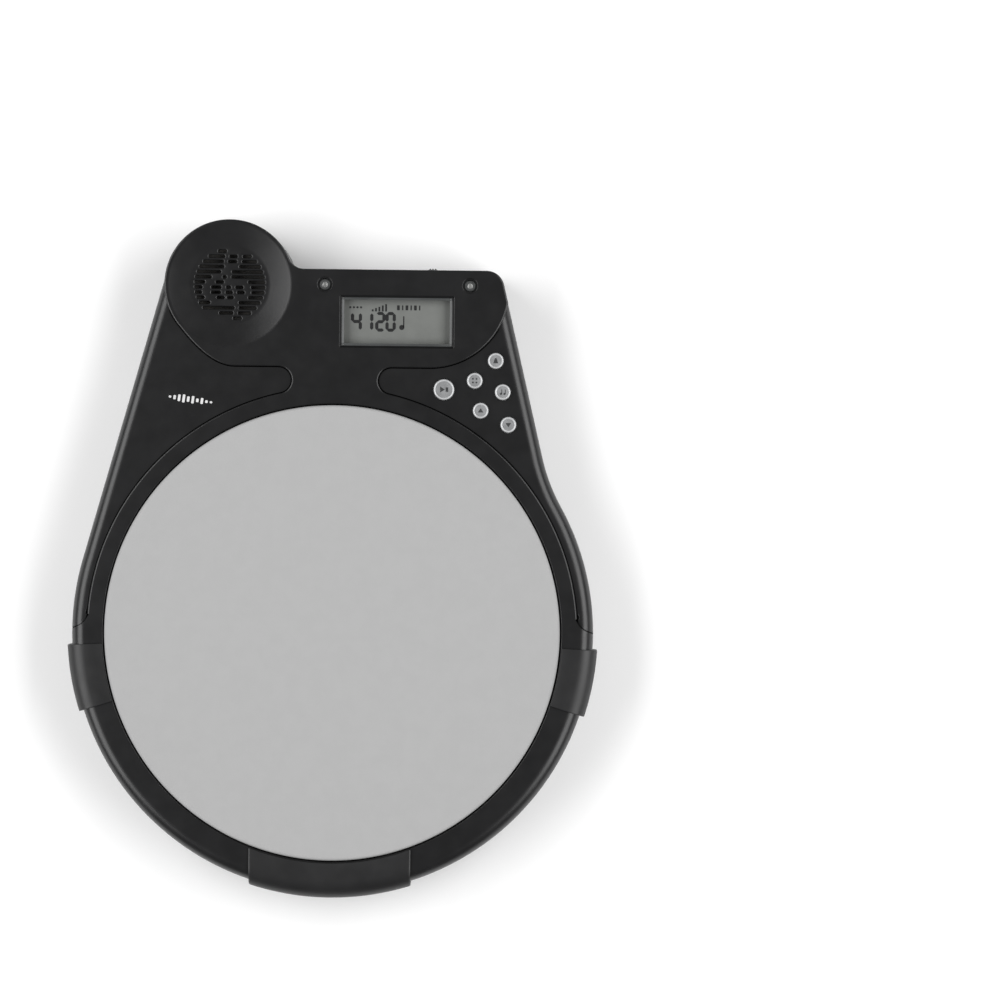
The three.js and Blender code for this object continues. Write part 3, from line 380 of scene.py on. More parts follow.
parts += [skirt(date_ring, HUB_Z, date_steps), panel(HUB_Z, moved(date_ring, -2.2), up=False)]
for angle in range(0, 360, 30):  # the mould's date mark has a pip for each month
    x, y = polar(3.0, angle)
    pip = circle(x, y + DATE_Y, 0.32, 10)
    parts += [skirt(pip, HUB_Z - 0.2, [(-0.08, 0), (0, 0.08), (0, 0.25)])]
    parts += [panel(HUB_Z - 0.2, moved(pip, -0.08), up=False)]
bottom_case = piece("bottom_case", parts, [grained_abs])
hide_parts("bottom_cover")

# ==== Stand nut ====
# A nickel-plated steel M8 hexagon nut, pressed into the hub so that the pad screws on to a stand.
# Its corners are chamfered, its bore countersunk, and the thread is cut right through.

nickel = surface("nickel_plated_steel", "c4c2bd", "cac8c3", (0.26, 0.3), 6, 0.5, 0.004, Metallic=1.0)
NUT_LOW, NUT_HIGH, PITCH = 5.5, 12.5, 1.25
turned = np.linspace(0, 360, 73)[:-1]
flats = NUT / np.cos(np.radians((turned - NUT_TURN) % 60 - 30))
chamfered = np.minimum(flats, NUT + 0.2)
coil = np.linspace(6.6, 12.3, 46)[:, None]
thread = 3.55 - 0.35 * np.abs(((coil / PITCH + turned / 360) % 1) * 2 - 1) ** 1.5
sunk, back = lift(polar(4.5, turned), NUT_LOW), lift(polar(4.0, turned), NUT_HIGH)
bore = [sunk, *(lift(polar(row, turned), z) for row, z in zip(thread, coil[:, 0])), back]
outside = [sunk, lift(polar(chamfered - 0.15, turned), NUT_LOW),
    lift(polar(chamfered, turned), NUT_LOW + 0.04),
    np.column_stack([polar(flats, turned), NUT_LOW + 0.05 + (flats - chamfered) * 0.6]),
    lift(polar(flats, turned), NUT_HIGH), back]
stand_nut = piece("hex_nut", [strip(bore), strip(outside, flip=True)], [nickel], crisp=28)
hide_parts("stand_nut")

# ==== Battery ====
# A 9 V block in a drawn steel jacket with a plain printed band round it. It lies loose in the bay
# behind the sliding door, its terminals in the moulded snap.

battery_jacket = surface("lacquered_steel_jacket", "3e434a", "4a5058", (0.28, 0.4), 14, 0.8, 0.004,
    Metallic=0.7)
battery_band = surface("printed_foil_band", "a8742c", "b27f36", (0.3, 0.4), 12, 0.8, 0.003, Metallic=0.6)
cell_section = rectangle(100.5, 12.35, 26.3, 17.3, 2.2, 6)
stations = [(64.35, -1.0), (64.6, -0.3), (65.2, 0), (74, 0), (74.01, 0.05), (84, 0.05), (84.01, 0),
    (111.6, 0), (112.2, -0.3), (112.5, -1.0)]


def carried(section, stations, place, flip=False):
    """Carries an anticlockwise section along a path: at each station (where, growth) it's moved
    outwards by growth and set in space by place(where, section). Both ends are closed."""
    section = np.asarray(section, float)
    rings = [place(where, moved(section, growth)) for where, growth in stations]
    points, quads = strip(rings, flip=flip)
    count = len(section)
    first, last = np.arange(count), len(points) - count + np.arange(count)
    ends = [first[::-1], last] if flip else [first, last[::-1]]
    return points, [*quads.tolist(), *(end.tolist() for end in ends)]


def up_the_edge(u, section):
    """Sets a (v, z) section square to the left edge, at u."""
    return edge_place(np.column_stack([np.full(len(section), u), section]))


cell_points, cell_faces = carried(cell_section, stations, up_the_edge, flip=True)
count = len(cell_section)
band_faces = cell_faces[3 * count : 6 * count]
rest_faces = cell_faces[: 3 * count] + cell_faces[6 * count :]
battery = piece("nine_volt_battery", [(cell_points, rest_faces), (cell_points, band_faces, 1)],
    [battery_jacket, battery_band])
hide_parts("battery")

# ==== Battery door ====
# A black ABS sliding door that wraps from the underside up the straight left edge. A striped
# arrow moulded on it shows the way it slides off.

door_abs = surface("black_abs_door", "151516", "18181a", (0.38, 0.42), 9, 0.35, 0.01)
DOOR_IN, DOOR_TURN = NOTCH + 0.4, LEDGE + 0.4
door_section = np.array([(DOOR_IN, 3.0), (DOOR_IN, 1.25), (DOOR_IN + 0.25, 1.0),
    *((RIM + out, z) for out, z in lower_edge[::-1]),
    (RIM, 12.7), (RIM - 0.3, 13.0), (DOOR_TURN, 13.0), (DOOR_TURN, 3.0)])
stations = [(57.06, -0.25), (57.3, 0), (120.82, 0), (121.06, -0.25)]
parts = [carried(door_section, stations, up_the_edge, flip=True)]
raised = [(-0.12, 0), (0, 0.12), (0, 0.45)]
ARROW_U, ARROW_Z = 89.06, 0.6
arrow = [rectangle(ARROW_U, v, 5.2, 1.5, 0.3, 3) for v in (88.4, 91.2, 94.0)]
arrow += [np.array([(92.9, 96.4), (ARROW_U, 103.6), (85.2, 96.4)])]
for shape in map(edge_place, arrow):
    parts += [skirt(shape, ARROW_Z, raised, flip=True), panel(ARROW_Z, moved(shape, -0.12), up=False)]
battery_cover = piece("battery_slide_door", parts, [door_abs], body="door")
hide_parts("battery_door")

# ==== Top cover ====
# The upper half of the case, black ABS with the same fine grain. The head and the ring round the
# pad stand 1.2 mm above two wing panels; the ring and the wings slope away to the rim.

head_abs = surface("grained_black_abs_top", "101011", "131314", (0.3, 0.34), 9, 0.35, 0.006)

CROWN, WING = 32, 30.8  # heights of the head and ring, and of the wings
GROOVE = 0.4  # the shadow line left where a wing meets the step
RING, SLOPE_TOP = 109.5, 108.7  # radius of the step beside the ring, and of the top of its slope
FOOT = math.degrees(math.asin(7.3 / RING))  # where each wing ends beside the pad
TIP_X, TIP_Y, TIP_ROUND = 25.3, 112.7, 6  # each wing's rounded tip
BROW = TIP_Y + TIP_ROUND  # y of the wings' level upper edges
TIP = math.degrees(math.atan2(TIP_Y, TIP_X))  # direction of the tips
BOW_X, BOW_Y, BOW = 42, 154.2, 35.5  # the arc by which the right wing's edge climbs to the side
meet = SIDE - math.degrees(math.acos((REACH - polar(1, SIDE) @ (BOW_X, BOW_Y)) / BOW))
right_wing = np.concatenate([
    polar(RING, np.linspace(FOOT, TIP, 80)), arc(TIP_X, TIP_Y, TIP_ROUND, TIP + 180, 90, 24)[1:],
    line([27, BROW], [BOW_X, BROW], 5), arc(BOW_X, BOW_Y, BOW, -90, meet, 40)[1:]])
LEAVE = 221.5  # direction at which the left wing's edge leaves the lobe
sweep = arc(LOBE_X, LOBE_Y, LOBE, LEAVE, LEAVE, 1)[0]
left_wing = np.concatenate([
    arc(LOBE_X, LOBE_Y, LOBE, EDGE, LEAVE, 34), bend(sweep, (-55.9, BROW), (-45, BROW), 14)[1:],
    line([-43, BROW], [-TIP_X, BROW], 5), arc(-TIP_X, TIP_Y, TIP_ROUND, 90, -TIP, 24)[1:],
    polar(RING, np.linspace(180 - TIP, 180 - FOOT, 80))[1:]])
side_high = outline(0)["side_high"]
above = side_high[side_high[:, 1] > right_wing[-1, 1] + 0.5]
head_edge = np.concatenate([right_wing, above, path(0, "corner", "lobe")[:-1], left_wing])

# Skin of the head and ring, with every opening through it
PAD = 101.6  # the playing pad's radius
tray_ring = circle(0, 0, PAD + 0.6, 180)
dish_ring = circle(LOBE_X, LOBE_Y, 27.9, 120)
WINDOW = np.array([27.4, 139.1])
window_ring = rectangle(*WINDOW, 50.8, 23.2, 0.6, 5)
LIGHT_Y, light_places = 155.5, {"left": -4.9, "right": 59.9}
light_rings = [circle(x, LIGHT_Y, 3.35, 32) for x in light_places.values()]
ring_inner = polar(SLOPE_TOP, np.linspace(180 - FOOT, 360 + FOOT, 181))
crown = np.concatenate([moved(head_edge, -0.8, closed=False)[1:-1], ring_inner])
parts = [panel(CROWN, crown, moved(tray_ring, 0.8), moved(dish_ring, 0.3), moved(window_ring, 0.5),
    *(moved(ring, 0.4) for ring in light_rings))]
EDGE_ROUND, WALL_TOP = 0.75, 25.2  # the head's rounded edge; where the lower wall takes over
parts += [skirt(head_edge, CROWN, [(-0.8, 0), *rounded(EDGE_ROUND, 1, -1, 5)], closed=False)]
for wall in (np.concatenate([right_wing, above, path(0, "corner", "top_right")]),
        np.concatenate([path(0, "top_left", "lobe")[:-1], left_wing])):
    parts += [skirt(wall, CROWN, [(0, -EDGE_ROUND), (0, WALL_TOP - CROWN)], closed=False)]
TRAY_DEEP = 10.5
parts += [skirt(tray_ring, CROWN, lip(0.6, -1, -1, TRAY_DEEP), flip=True)]
parts += [panel(CROWN - TRAY_DEEP, tray_ring, circle(0, 0, 17.5, 48))]

# The ring's own outer slope, and the end walls where each wing's foot cuts across it
SHOULDER, SPRING = 110.6, 25.8  # middle of the elliptical rounding of the ring and its guards
fall = np.radians([0, 6, 14, 24, 34, 44, 54, 64, 74, 83, 90])
slope = np.array([(SLOPE_TOP, CROWN), *zip(SHOULDER + 6.05 * np.sin(fall), SPRING + 6.2 * np.cos(fall)),
    (RIM, WALL_TOP)])
foot_curve = bend(polar(RING, FOOT), (RING, 2.6), (116.9, 0.6), 60)


def foot_turn(radii, aside=0.0):
    """Angle above the X axis at which the foot's curve, moved aside towards the wing, has each of
    the radii."""
    curve = moved(foot_curve, -aside, closed=False)
    return np.interp(radii, np.linalg.norm(curve, axis=1), np.degrees(np.arctan2(curve[:, 1], curve[:, 0])))


ends = np.where(slope[:, 0] < RING, FOOT, foot_turn(slope[:, 0]))
t = np.linspace(0, 1, 181)
sweeps = (180 - ends)[:, None] * (1 - t) + (360 + ends)[:, None] * t
parts += [strip([lift(polar(r, sweeps[k]), z) for k, (r, z) in enumerate(slope)], closed=False)]
for side in (1, -1):
    top_edge = np.column_stack([polar(slope[1:, 0], ends[1:]) * (side, 1), slope[1:, 1]])
    parts += [strip([top_edge, top_edge - (0, 0, 2.5)], closed=False, flip=side > 0)]

# Outside wall, with the sockets' length of the top edge left out, and the wings' outer slopes
rim_wall = [(0, WALL_TOP), (0, 15.6), (-0.3, 15.3), (-2.2, 15.3), (-2.2, 24)]
parts += [strip([lift(path(-out, "top_left", "door"), z) for out, z in rim_wall], closed=False)]
parts += [strip([lift(path(-out, "left_low", "top_right"), z) for out, z in rim_wall], closed=False)]
WING_IN = 5.9  # how far inside the outline the wings' slope starts
wing_slope = [(-WING_IN, WING), *zip(5.4 * np.sin(fall) - 5.4, WALL_TOP + 5.6 * np.cos(fall))]


def wing_outside(inset, side, past_top):
    """The outline along one wing, from the groove at its foot to its top or past it, and on the
    left the other way about; the groove is where foot_turn has the inset rim's radius."""
    foot = foot_turn(RIM - inset, GROOVE)
    if side > 0:
        waist = path(inset, "rim_right", "rim_right")[-1]
        rim = polar(RIM - inset, np.linspace(foot, math.degrees(math.atan2(waist[1], waist[0])), 40))
        return np.concatenate([rim[:-1], path(inset, "waist", "side_high" if past_top else "side")])
    rim = polar(RIM - inset, np.linspace(EDGE, 180 - foot, 24))
    high = path(inset, "left_high" if past_top else "door", "door")
    return np.concatenate([high[:-1], path(inset, "left_low", "left_low")[:-1], rim])


for side in (1, -1):
    rows = [lift(wing_outside(-out, side, True), z) for out, z in wing_slope]
    parts += [strip(rows, closed=False)]
    end = np.array([row[0 if side > 0 else -1] for row in rows])
    parts += [strip([end, end - (0, 0, 2.0)], closed=False, flip=side < 0)]

# The two wing panels, each stopping GROOVE short of the step up to the head and ring
button_places = [  # distance out from the pad's edge, direction, radius
    (17.9, 65.94, 4.6), (27.7, 61.14, 3.5), (40.1, 59.6, 3.5),
    (30.1, 55.3, 3.5), (17.7, 56.87, 3.5), (20.1, 50.37, 3.5)]
button_rings = [circle(*polar(PAD + out, angle), radius + 0.35, 32) for out, angle, radius in button_places]
foot_groove = moved(foot_curve, -GROOVE, closed=False)
foot_groove = foot_groove[np.linalg.norm(foot_groove, axis=1) < RIM - WING_IN - 0.05]
for side, edge, normal, reach in ((1, right_wing, SIDE, REACH), (-1, left_wing, EDGE, RIM)):
    step_foot = moved(edge, GROOVE, closed=False)
    on_wing = step_foot @ polar(1, normal) < reach - WING_IN - GROOVE
    step_foot = step_foot[on_wing | (step_foot[:, 1] < 90)]
    outer = wing_outside(WING_IN, side, False)
    if side > 0:
        wing_loop = np.concatenate([outer, step_foot[::-1][:-2], foot_groove])
    else:
        wing_loop = np.concatenate([outer, foot_groove[::-1] * (-1, 1), step_foot[::-1][2:]])
    holes = button_rings if side > 0 else []
    parts += [panel(WING, wing_loop, *(moved(ring, 0.5) for ring in holes))]
    parts += [skirt(ring, WING, lip(0.3, -1, -1, 2.4), flip=True) for ring in holes]
    parts += [skirt(step_foot, WING, [(0, 0), (0, -2)], closed=False, flip=True)]

# The speaker's dish and its grille of slots; a clef's shape is left solid across them
GRILLE = 29.85  # height of the grille at the bottom of the dish
dish = [(0.3, 0), (0.1, -0.01), (-0.3, -0.06), (-0.9, -0.2), (-1.6, -0.4), (-9.6, -2.0), (-10.3, -2.12),
    (-11, GRILLE - CROWN)]
parts += [skirt(dish_ring, CROWN, dish, flip=True)]
stroke = np.array([  # knots along the clef from its heart: across, up, half width
    (-1.7, -5.2, 0.8), (-3.4, -2.6, 0.9), (-1.9, 0.5, 1.0), (2.2, 1.8, 1.2), (6.6, 0.8, 1.5),
    (8.6, -2.4, 1.4), (7.0, -5.6, 1.2), (2.2, -7.6, 1.1), (-4.2, -7.9, 1.3), (-9.0, -6.2, 1.7),
    (-10.8, -2.6, 1.9), (-9.4, 0.9, 1.6), (-4.0, 4.4, 1.2), (1.4, 7.2, 1.0), (4.2, 9.6, 1.1),
    (4.6, 13.0, 1.1), (2.2, 15.0, 0.9), (-0.6, 14.6, 0.9), (-1.9, 11.0, 0.9), (-1.5, 5.4, 0.9),
    (0.6, 1.6, 0.9), (2.3, -3.4, 0.9), (3.3, -9.6, 0.9), (2.6, -13.2, 1.0), (-0.6, -15.2, 0.9),
    (-4.8, -14.4, 0.9), (-6.6, -12.2, 1.6)])
knots = np.arange(len(stroke))
fine = np.linspace(0, len(stroke) - 1, 500)
clef_x, clef_y, clef_half = (np.interp(fine, knots, stroke[:, k]) for k in range(3))
SLOT_REACH, SLOT_PITCH, SLOT_WIDE, SLOT_ROWS = 15.9, 2.3, 1.15, 14
slots = []
xs = np.linspace(-SLOT_REACH, SLOT_REACH, 319)
for row in range(SLOT_ROWS):
    y = (row - (SLOT_ROWS - 1) / 2) * SLOT_PITCH
    open_here = xs**2 + y**2 < SLOT_REACH**2
    open_here &= (np.hypot(xs[:, None] - clef_x, y - clef_y) - clef_half).min(axis=1) > 0
    change = np.flatnonzero(np.diff(np.concatenate([[0], open_here.astype(int), [0]])))
    for first, last in zip(change[::2], change[1::2]):
        left_end, right_end = xs[first], xs[last - 1]
        if right_end - left_end > 1.6:
            x = LOBE_X + (left_end + right_end) / 2
            slots.append(rectangle(x, LOBE_Y + y, right_end - left_end, SLOT_WIDE, 0.5, 3))
parts += [panel(GRILLE, circle(LOBE_X, LOBE_Y, 16.9, 120), *(moved(slot, 0.5) for slot in slots))]
slot_side = [(0.5, 0), (0.4, -0.02), (0.15, -0.2), (0, -0.45), (0, -1.25)]
parts += [skirt(slot, GRILLE, slot_side, flip=True) for slot in slots]

# The window's bevelled opening and the light wells
bezel = [(0.5, 0), (0.3, 0), (0.1, -0.08), (0, -0.3), (-1.35, -1.25), (-1.6, -1.3), (-1.6, -3.6)]
parts += [skirt(window_ring, CROWN, bezel, flip=True)]
light_well = [(0.4, 0), (0.2, 0), (0.05, -0.1), (0, -0.3), (-0.1, -0.6), (-0.55, -0.6), (-0.55, -3.4)]
parts += [skirt(ring, CROWN, light_well, flip=True) for ring in light_rings]


def upright(part):
    """Stands a part drawn flat as (across, up, out) on the top wall: (-across, TOP + out, up)."""
    points, faces = part
    return np.stack([-points[:, 0], TOP + points[:, 2], points[:, 1]], axis=1), faces


# The length of wall that holds the sockets, the switch's slot and the volume wheel's slot
sockets = {"power": (-4, 22.5), "aux": (8, 21.7), "phones": (18, 21.7)}  # each one's x and z
SWITCH_Z, WHEEL_X = 20.3, 33.6
openings = [circle(-x, z, 3.9 if name == "power" else 2.6, 36 if name == "power" else 28)
    for name, (x, z) in sockets.items()]
openings += [rectangle(-45, SWITCH_Z, 9.2, 2.8, 0.4, 3), rectangle(-WHEEL_X, 23.9, 15.6, 3.0, 0.4, 3)]
socket_wall = np.array([(-SOCKETS_RIGHT, 15.6), (-SOCKETS_LEFT, 15.6),
    (-SOCKETS_LEFT, CROWN - EDGE_ROUND), (-SOCKETS_RIGHT, CROWN - EDGE_ROUND)])
parts += [upright(panel(0, socket_wall, *(moved(loop, 0.4) for loop in openings)))]
parts += [upright(skirt(loop, 0, lip(0.2, -1, -1, 2.2), flip=True)) for loop in openings]
parts += [strip([lift(path(-out, "top", "top"), z) for out, z in rim_wall[1:]], closed=False)]
top_case = piece("top_case", parts, [head_abs])
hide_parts("top_cover")

# ==== Playing pad ====
# The drum pad itself: a moulded disc of grey synthetic rubber, finely stippled so that sticks
# don't slip, its edge rounded, dropped into the tray on its foam.

pad_rubber = surface("stippled_grey_rubber", "a2a2a2", "a4a4a4", (0.78, 0.88), 6, 0.7, 0.05)
PAD_LOW, PAD_HIGH = 26.6, 33.5
pad_ring = circle(0, 0, PAD, 240)
rim = [(-3.0, 6.9), (-1.5, 6.9), (-1.2, 6.88), (-0.75, 6.75), (-0.35, 6.45), (-0.1, 6.0), (0, 5.5),
    (0, 0.4), (-0.4, 0)]
parts = [skirt(pad_ring, PAD_LOW, rim), panel(PAD_LOW, moved(pad_ring, -0.4), up=False)]
rows = np.linspace(PAD - 3, 0, 12)[:-1]
parts += [strip([lift(circle(0, 0, r, 240), PAD_HIGH) for r in rows[::-1]])]
parts += [panel(PAD_HIGH, circle(0, 0, rows[-1], 240))]
pad = piece("pad_rubber_disc", parts, [pad_rubber])
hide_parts("playing_pad")

# ==== Rim guards ====
# Three black rubber bands stretched over the ring and its slope, at both sides and at the front,
# which take the knocks of sticks that miss the pad.

guard_rubber = surface("matt_black_rubber", "121213", "161617", (0.42, 0.48), 11, 0.5, 0.01)
inner = np.radians([0, 8, 20, 32, 44, 56, 68, 80, 90])
outer = inner[::-1]
guard_section = [(102.7, 32.3), *zip(SHOULDER + 6.4 * np.sin(inner), SPRING + 6.5 * np.cos(inner)),
    (117.0, 15.35), (118.4, 15.3), (118.7, 15.5), (118.8, 15.9),
    *zip(SHOULDER + 8.2 * np.sin(outer), SPRING + 7.2 * np.cos(outer)),
    (103.1, 33.0), (102.85, 32.92), (102.72, 32.7)]


def round_the_pad(angle, section):
    """Sets a (radius, z) section in the plane through the pad's axis at the angle."""
    return np.column_stack([polar(section[:, 0], angle), section[:, 1]])


def square_ended(lean, section):
    """Sets a (radius, z) section in front of the pad with each of its points at x = lean: a point's
    angle is 270 + asin(lean / radius)."""
    angle = 270 + np.degrees(np.arcsin(lean / section[:, 0]))
    return np.column_stack([polar(section[:, 0], angle), section[:, 1]])


guards = {"right": (-17.9, -3.2, round_the_pad), "left": (183.2, 197.9, round_the_pad),
    "front": (-36.1, 36.1, square_ended)}
for name, (start, end, place) in guards.items():
    nick = (end - start) * 0.004
    stations = [(start, -0.25), (start + nick, -0.07), (start + 2 * nick, 0)]
    stations += [(where, 0) for where in np.linspace(start + 4 * nick, end - 4 * nick, 24)]
    stations += [(end - 2 * nick, 0), (end - nick, -0.07), (end, -0.25)]
    guard = piece(f"guard_band_{name}", [carried(guard_section, stations, place)], [guard_rubber])
    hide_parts(f"rim_guard_{name}")

# ==== Display ====
# A reflective liquid-crystal panel below a bevelled clear acrylic window. Its black segments show
# plain figures for beat and tempo and a note; the row above them is plain bars and dots.


def slab(loop, low, high, top=0.2, bottom=0.2, steps=3):
    """A solid between two heights inside an anticlockwise loop, its top and bottom edges rounded."""
    side = [(-top - 0.02, 0), *rounded(top, 1, -1, steps)]
    side += [(out, low - high + bottom - up) for out, up in rounded(bottom, 1, -1, steps)[::-1]]
    side += [(-bottom - 0.02, low - high)]
    return [skirt(loop, high, side), panel(high, moved(loop, -top - 0.02)),
        panel(low, moved(loop, -bottom - 0.02), up=False)]


display_glass = surface("reflective_lcd_glass", "6c6e6b", "70726f", (0.4, 0.5), 8, 0.25, 0.002)
display_ink = surface("lcd_segment_black", "050506", "08080a", (0.45, 0.55), 5, 0.3, 0.002)
GLASS_LOW, GLASS_HIGH = 25.5, 28.3
glass = slab(rectangle(*WINDOW, 53.8, 26.2, 0.5, 3), GLASS_LOW, GLASS_HIGH)
display = piece("display_glass", glass, [display_glass])
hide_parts("lcd_panel")


def figure(x, y, width, height, bars):
    """A seven-segment figure's bars as pointed loops; bars names the lit ones from a to g."""
    w, h = width / 2 - 0.55, height / 4 - 0.12  # half a level bar, half an upright one
    t = 0.72  # half a bar's thickness
    level = np.array([(-w, 0), (-w + t, -t), (w - t, -t), (w, 0), (w - t, t), (-w + t, t)])
    tall = np.array([(0, -h), (t, -h + t), (t, h - t), (0, h), (-t, h - t), (-t, -h + t)])
    places = {"a": (level, 0, 2 * h), "b": (tall, w, h), "c": (tall, w, -h), "d": (level, 0, -2 * h),
        "e": (tall, -w, -h), "f": (tall, -w, h), "g": (level, 0, 0)}
    return [shape * 0.98 + (x + dx, y + dy) for shape, dx, dy in (places[bar] for bar in bars)]


marks = figure(-18.2, 0.15, 4.6, 7.9, "bcfg") + figure(-12.6, 0.15, 3.6, 7.9, "bc")
marks += figure(-7.5, 0.15, 4.3, 7.9, "abged") + figure(-2.9, 0.15, 4.3, 7.9, "abcdef")
marks += [rectangle(2.95, 0.2, 0.5, 5.0), circle(2.1, -2.3, 1.15, 16)]
marks += [circle(-21 + 1.6 * k, 6.5, 0.5, 10) for k in range(4)]
marks += [rectangle(-11 + 1.5 * k, 5.2 + 0.3 * k, 0.8, 0.9 + 0.6 * k) for k in range(5)]
marks += [rectangle(0.5 + 1.9 * k, 6.5, (1.2, 0.6)[k % 2], 2.2, 0.2, 3) for k in range(6)]
PRINT = 0.06  # how far the segments stand above the glass
marks = [mark + WINDOW for mark in marks]
parts = [panel(GLASS_HIGH + PRINT, mark) for mark in marks]
parts += [skirt(mark, GLASS_HIGH + PRINT, [(0, 0), (0, -PRINT)]) for mark in marks]
segments = piece("display_segments", parts, [display_ink])

window_acrylic = surface("clear_acrylic", "4a4c4c", "505252", (0.08, 0.14), 20, 2, 0.001, Alpha=0.05)
# The window's bevel is an opaque grey: a painted reflection of the light that the clear acrylic's chamfer
# catches.
bevel_painted_reflection = surface("acrylic_bevel_painted_reflection", "3e4040", "464848", (0.35, 0.45), 12, 0.4, 0.004)
BEVEL, BEVEL_Z, BEVEL_TALL = 1.55, 30.85, 0.7
lens_ring = rectangle(*WINDOW, 50.2, 22.6, 0.6, 5)
lens_edge = skirt(lens_ring, BEVEL_Z, [(-BEVEL, BEVEL_TALL), (-1.45, 0.68), (-0.2, 0.1), (0, 0)])
lens_top = panel(BEVEL_Z + BEVEL_TALL, moved(lens_ring, -BEVEL))
lens = piece("display_window", [(*lens_top, 0), (*lens_edge, 1)], [window_acrylic, bevel_painted_reflection])
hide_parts("lcd_window")

# ==== Indicator lights ====
# Two 5 mm round LEDs in clear epoxy, whose domes stand a little above the cover in round wells.
# The bright cup inside each holds its chip.


def spun(x, y, profile, count=40):
    """A turned skin about the upright line through (x, y), from (radius, z) pairs, top first."""
    return strip([lift(circle(x, y, max(r, 0.0005), count), z) for r, z in profile])


epoxy = surface("clear_epoxy", "808282", "8c8e8e", (0.08, 0.16), 3, 0.6, 0.002, Alpha=0.3)
lead_frame = surface("silvered_lead_frame", "cfcfcd", "dadad8", (0.2, 0.3), 2, 0.3, 0.002, Metallic=0.9)
LENS, DOME_Z = 2.5, 30.3  # a light's radius, and the height at which its dome starts
dome = [(r, DOME_Z + h) for r, h in polar(LENS, np.linspace(90, 0, 9))]
shell_rows = [*dome, (LENS, 27.7), (2.9, 27.6), (2.9, 26.65), (2.7, 26.6), (0, 26.6)]
cup_rows = [(0, 29.3), (0.5, 29.35), (1.0, 30.1), (1.2, 30.1), (1.1, 29.2), (0.9, 27.2), (0, 27.2)]
for name, x in light_places.items():
    shell, cup = spun(x, LIGHT_Y, shell_rows), spun(x, LIGHT_Y, cup_rows, 24)
    light = piece(f"light_{name}", [(*shell, 0), (*cup, 1)], [epoxy, lead_frame])
    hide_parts(f"led_{name}")

# ==== Buttons ====
# Six round push buttons, each a bright silver-painted ring round a darker grey centre that bears a
# small plain sign: play, beat, tempo, rhythm, up and down.

silver_paint = surface("silver_paint", "c2c3c4", "cccdce", (0.3, 0.38), 2.5, 0.5, 0.001, Metallic=0.25)
grey_centre = surface("grey_translucent_cap", "7a7b7c", "868788", (0.4, 0.5), 2.5, 0.3, 0.006)
sign_ink = surface("dark_grey_ink", "2a2b2c", "323334", (0.5, 0.6), 2, 0.3, 0.002)
signs = {
    "play": [np.array([(-1.7, -1.3), (0.4, 0), (-1.7, 1.3)]), rectangle(1.35, 0, 1.1, 2.0)],
    "beat": [circle(dx, dy, 0.42, 10) for dx in (-0.8, 0.8) for dy in (-0.8, 0.8)],
    "tempo": [np.array([(-1.1, -1.1), (1.1, -1.1), (0.35, 1.2), (-0.35, 1.2)])],
    "rhythm": [shape for x in (-0.8, 0.8)
        for shape in (circle(x, -0.8, 0.5, 10), rectangle(x + 0.35, 0.2, 0.3, 2.0))],
    "up": [np.array([(-1.2, -0.8), (1.2, -0.8), (0, 1.1)])],
    "down": [np.array([(-1.2, 0.8), (0, -1.1), (1.2, 0.8)])],
}
for (name, shapes), (out, angle, radius) in zip(signs.items(), button_places):
    x, y = polar(PAD + out, angle)
    bowl = radius - 0.95
    centre = spun(x, y, [(0, 31.85), (bowl - 0.3, 31.8), (bowl, 31.7)])
    ring = spun(x, y, [(bowl, 31.7), (bowl + 0.08, 31.9), (bowl + 0.3, 32.15), (bowl + 0.5, 32.2),
        (radius - 0.25, 32.1), (radius - 0.05, 31.85), (radius, 31.5), (radius, 28.3),
        (radius + 0.8, 28.3), (radius + 0.8, 26.9), (0, 26.9)])
    ink = [(*panel(31.87, shape + (x, y)), 2) for shape in shapes]
    button = piece(f"push_{name}", [(*ring, 0), (*centre, 1), *ink],
        [silver_paint, grey_centre, sign_ink], body=f"{name}_button")
    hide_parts(f"{name}_button")

# ==== Printed mark on the left wing ====
# A plain pad-printed sign in white: a short row of upright bars like a sound level.

white_ink = surface("white_print", "c6c6c6", "d2d2d2", (0.5, 0.6), 3, 0.3, 0.002)
MARK_Z = WING + 0.02


def spin(angle):
    """The matrix [[cos, sin], [-sin, cos]] that turns rows of (x, y) anticlockwise by an angle."""
    c, s = polar(1.0, angle)
    return np.array([(c, s), (-s, c)])


parts = []
for k, tall in enumerate((1.0, 1.9, 3.0, 3.6, 2.4, 3.3, 1.6, 2.7, 1.2, 0.9)):
    bar = rectangle(-9.2 + 2.05 * k, 0, 1.15, tall, 0.3, 3) @ spin(-7.4) + (-64.4, 103.5)
    parts += [panel(MARK_Z, bar), skirt(bar, MARK_Z, [(0, 0), (0, -0.03)])]
mark = piece("level_mark", parts, [white_ink])

# ==== Sockets, switch and volume wheel ====
# Black nylon sockets on the main board, seen through the top wall: one for power with its centre
# pin, two for plugs. Beside them are the ridged slide switch and the knurled volume wheel.

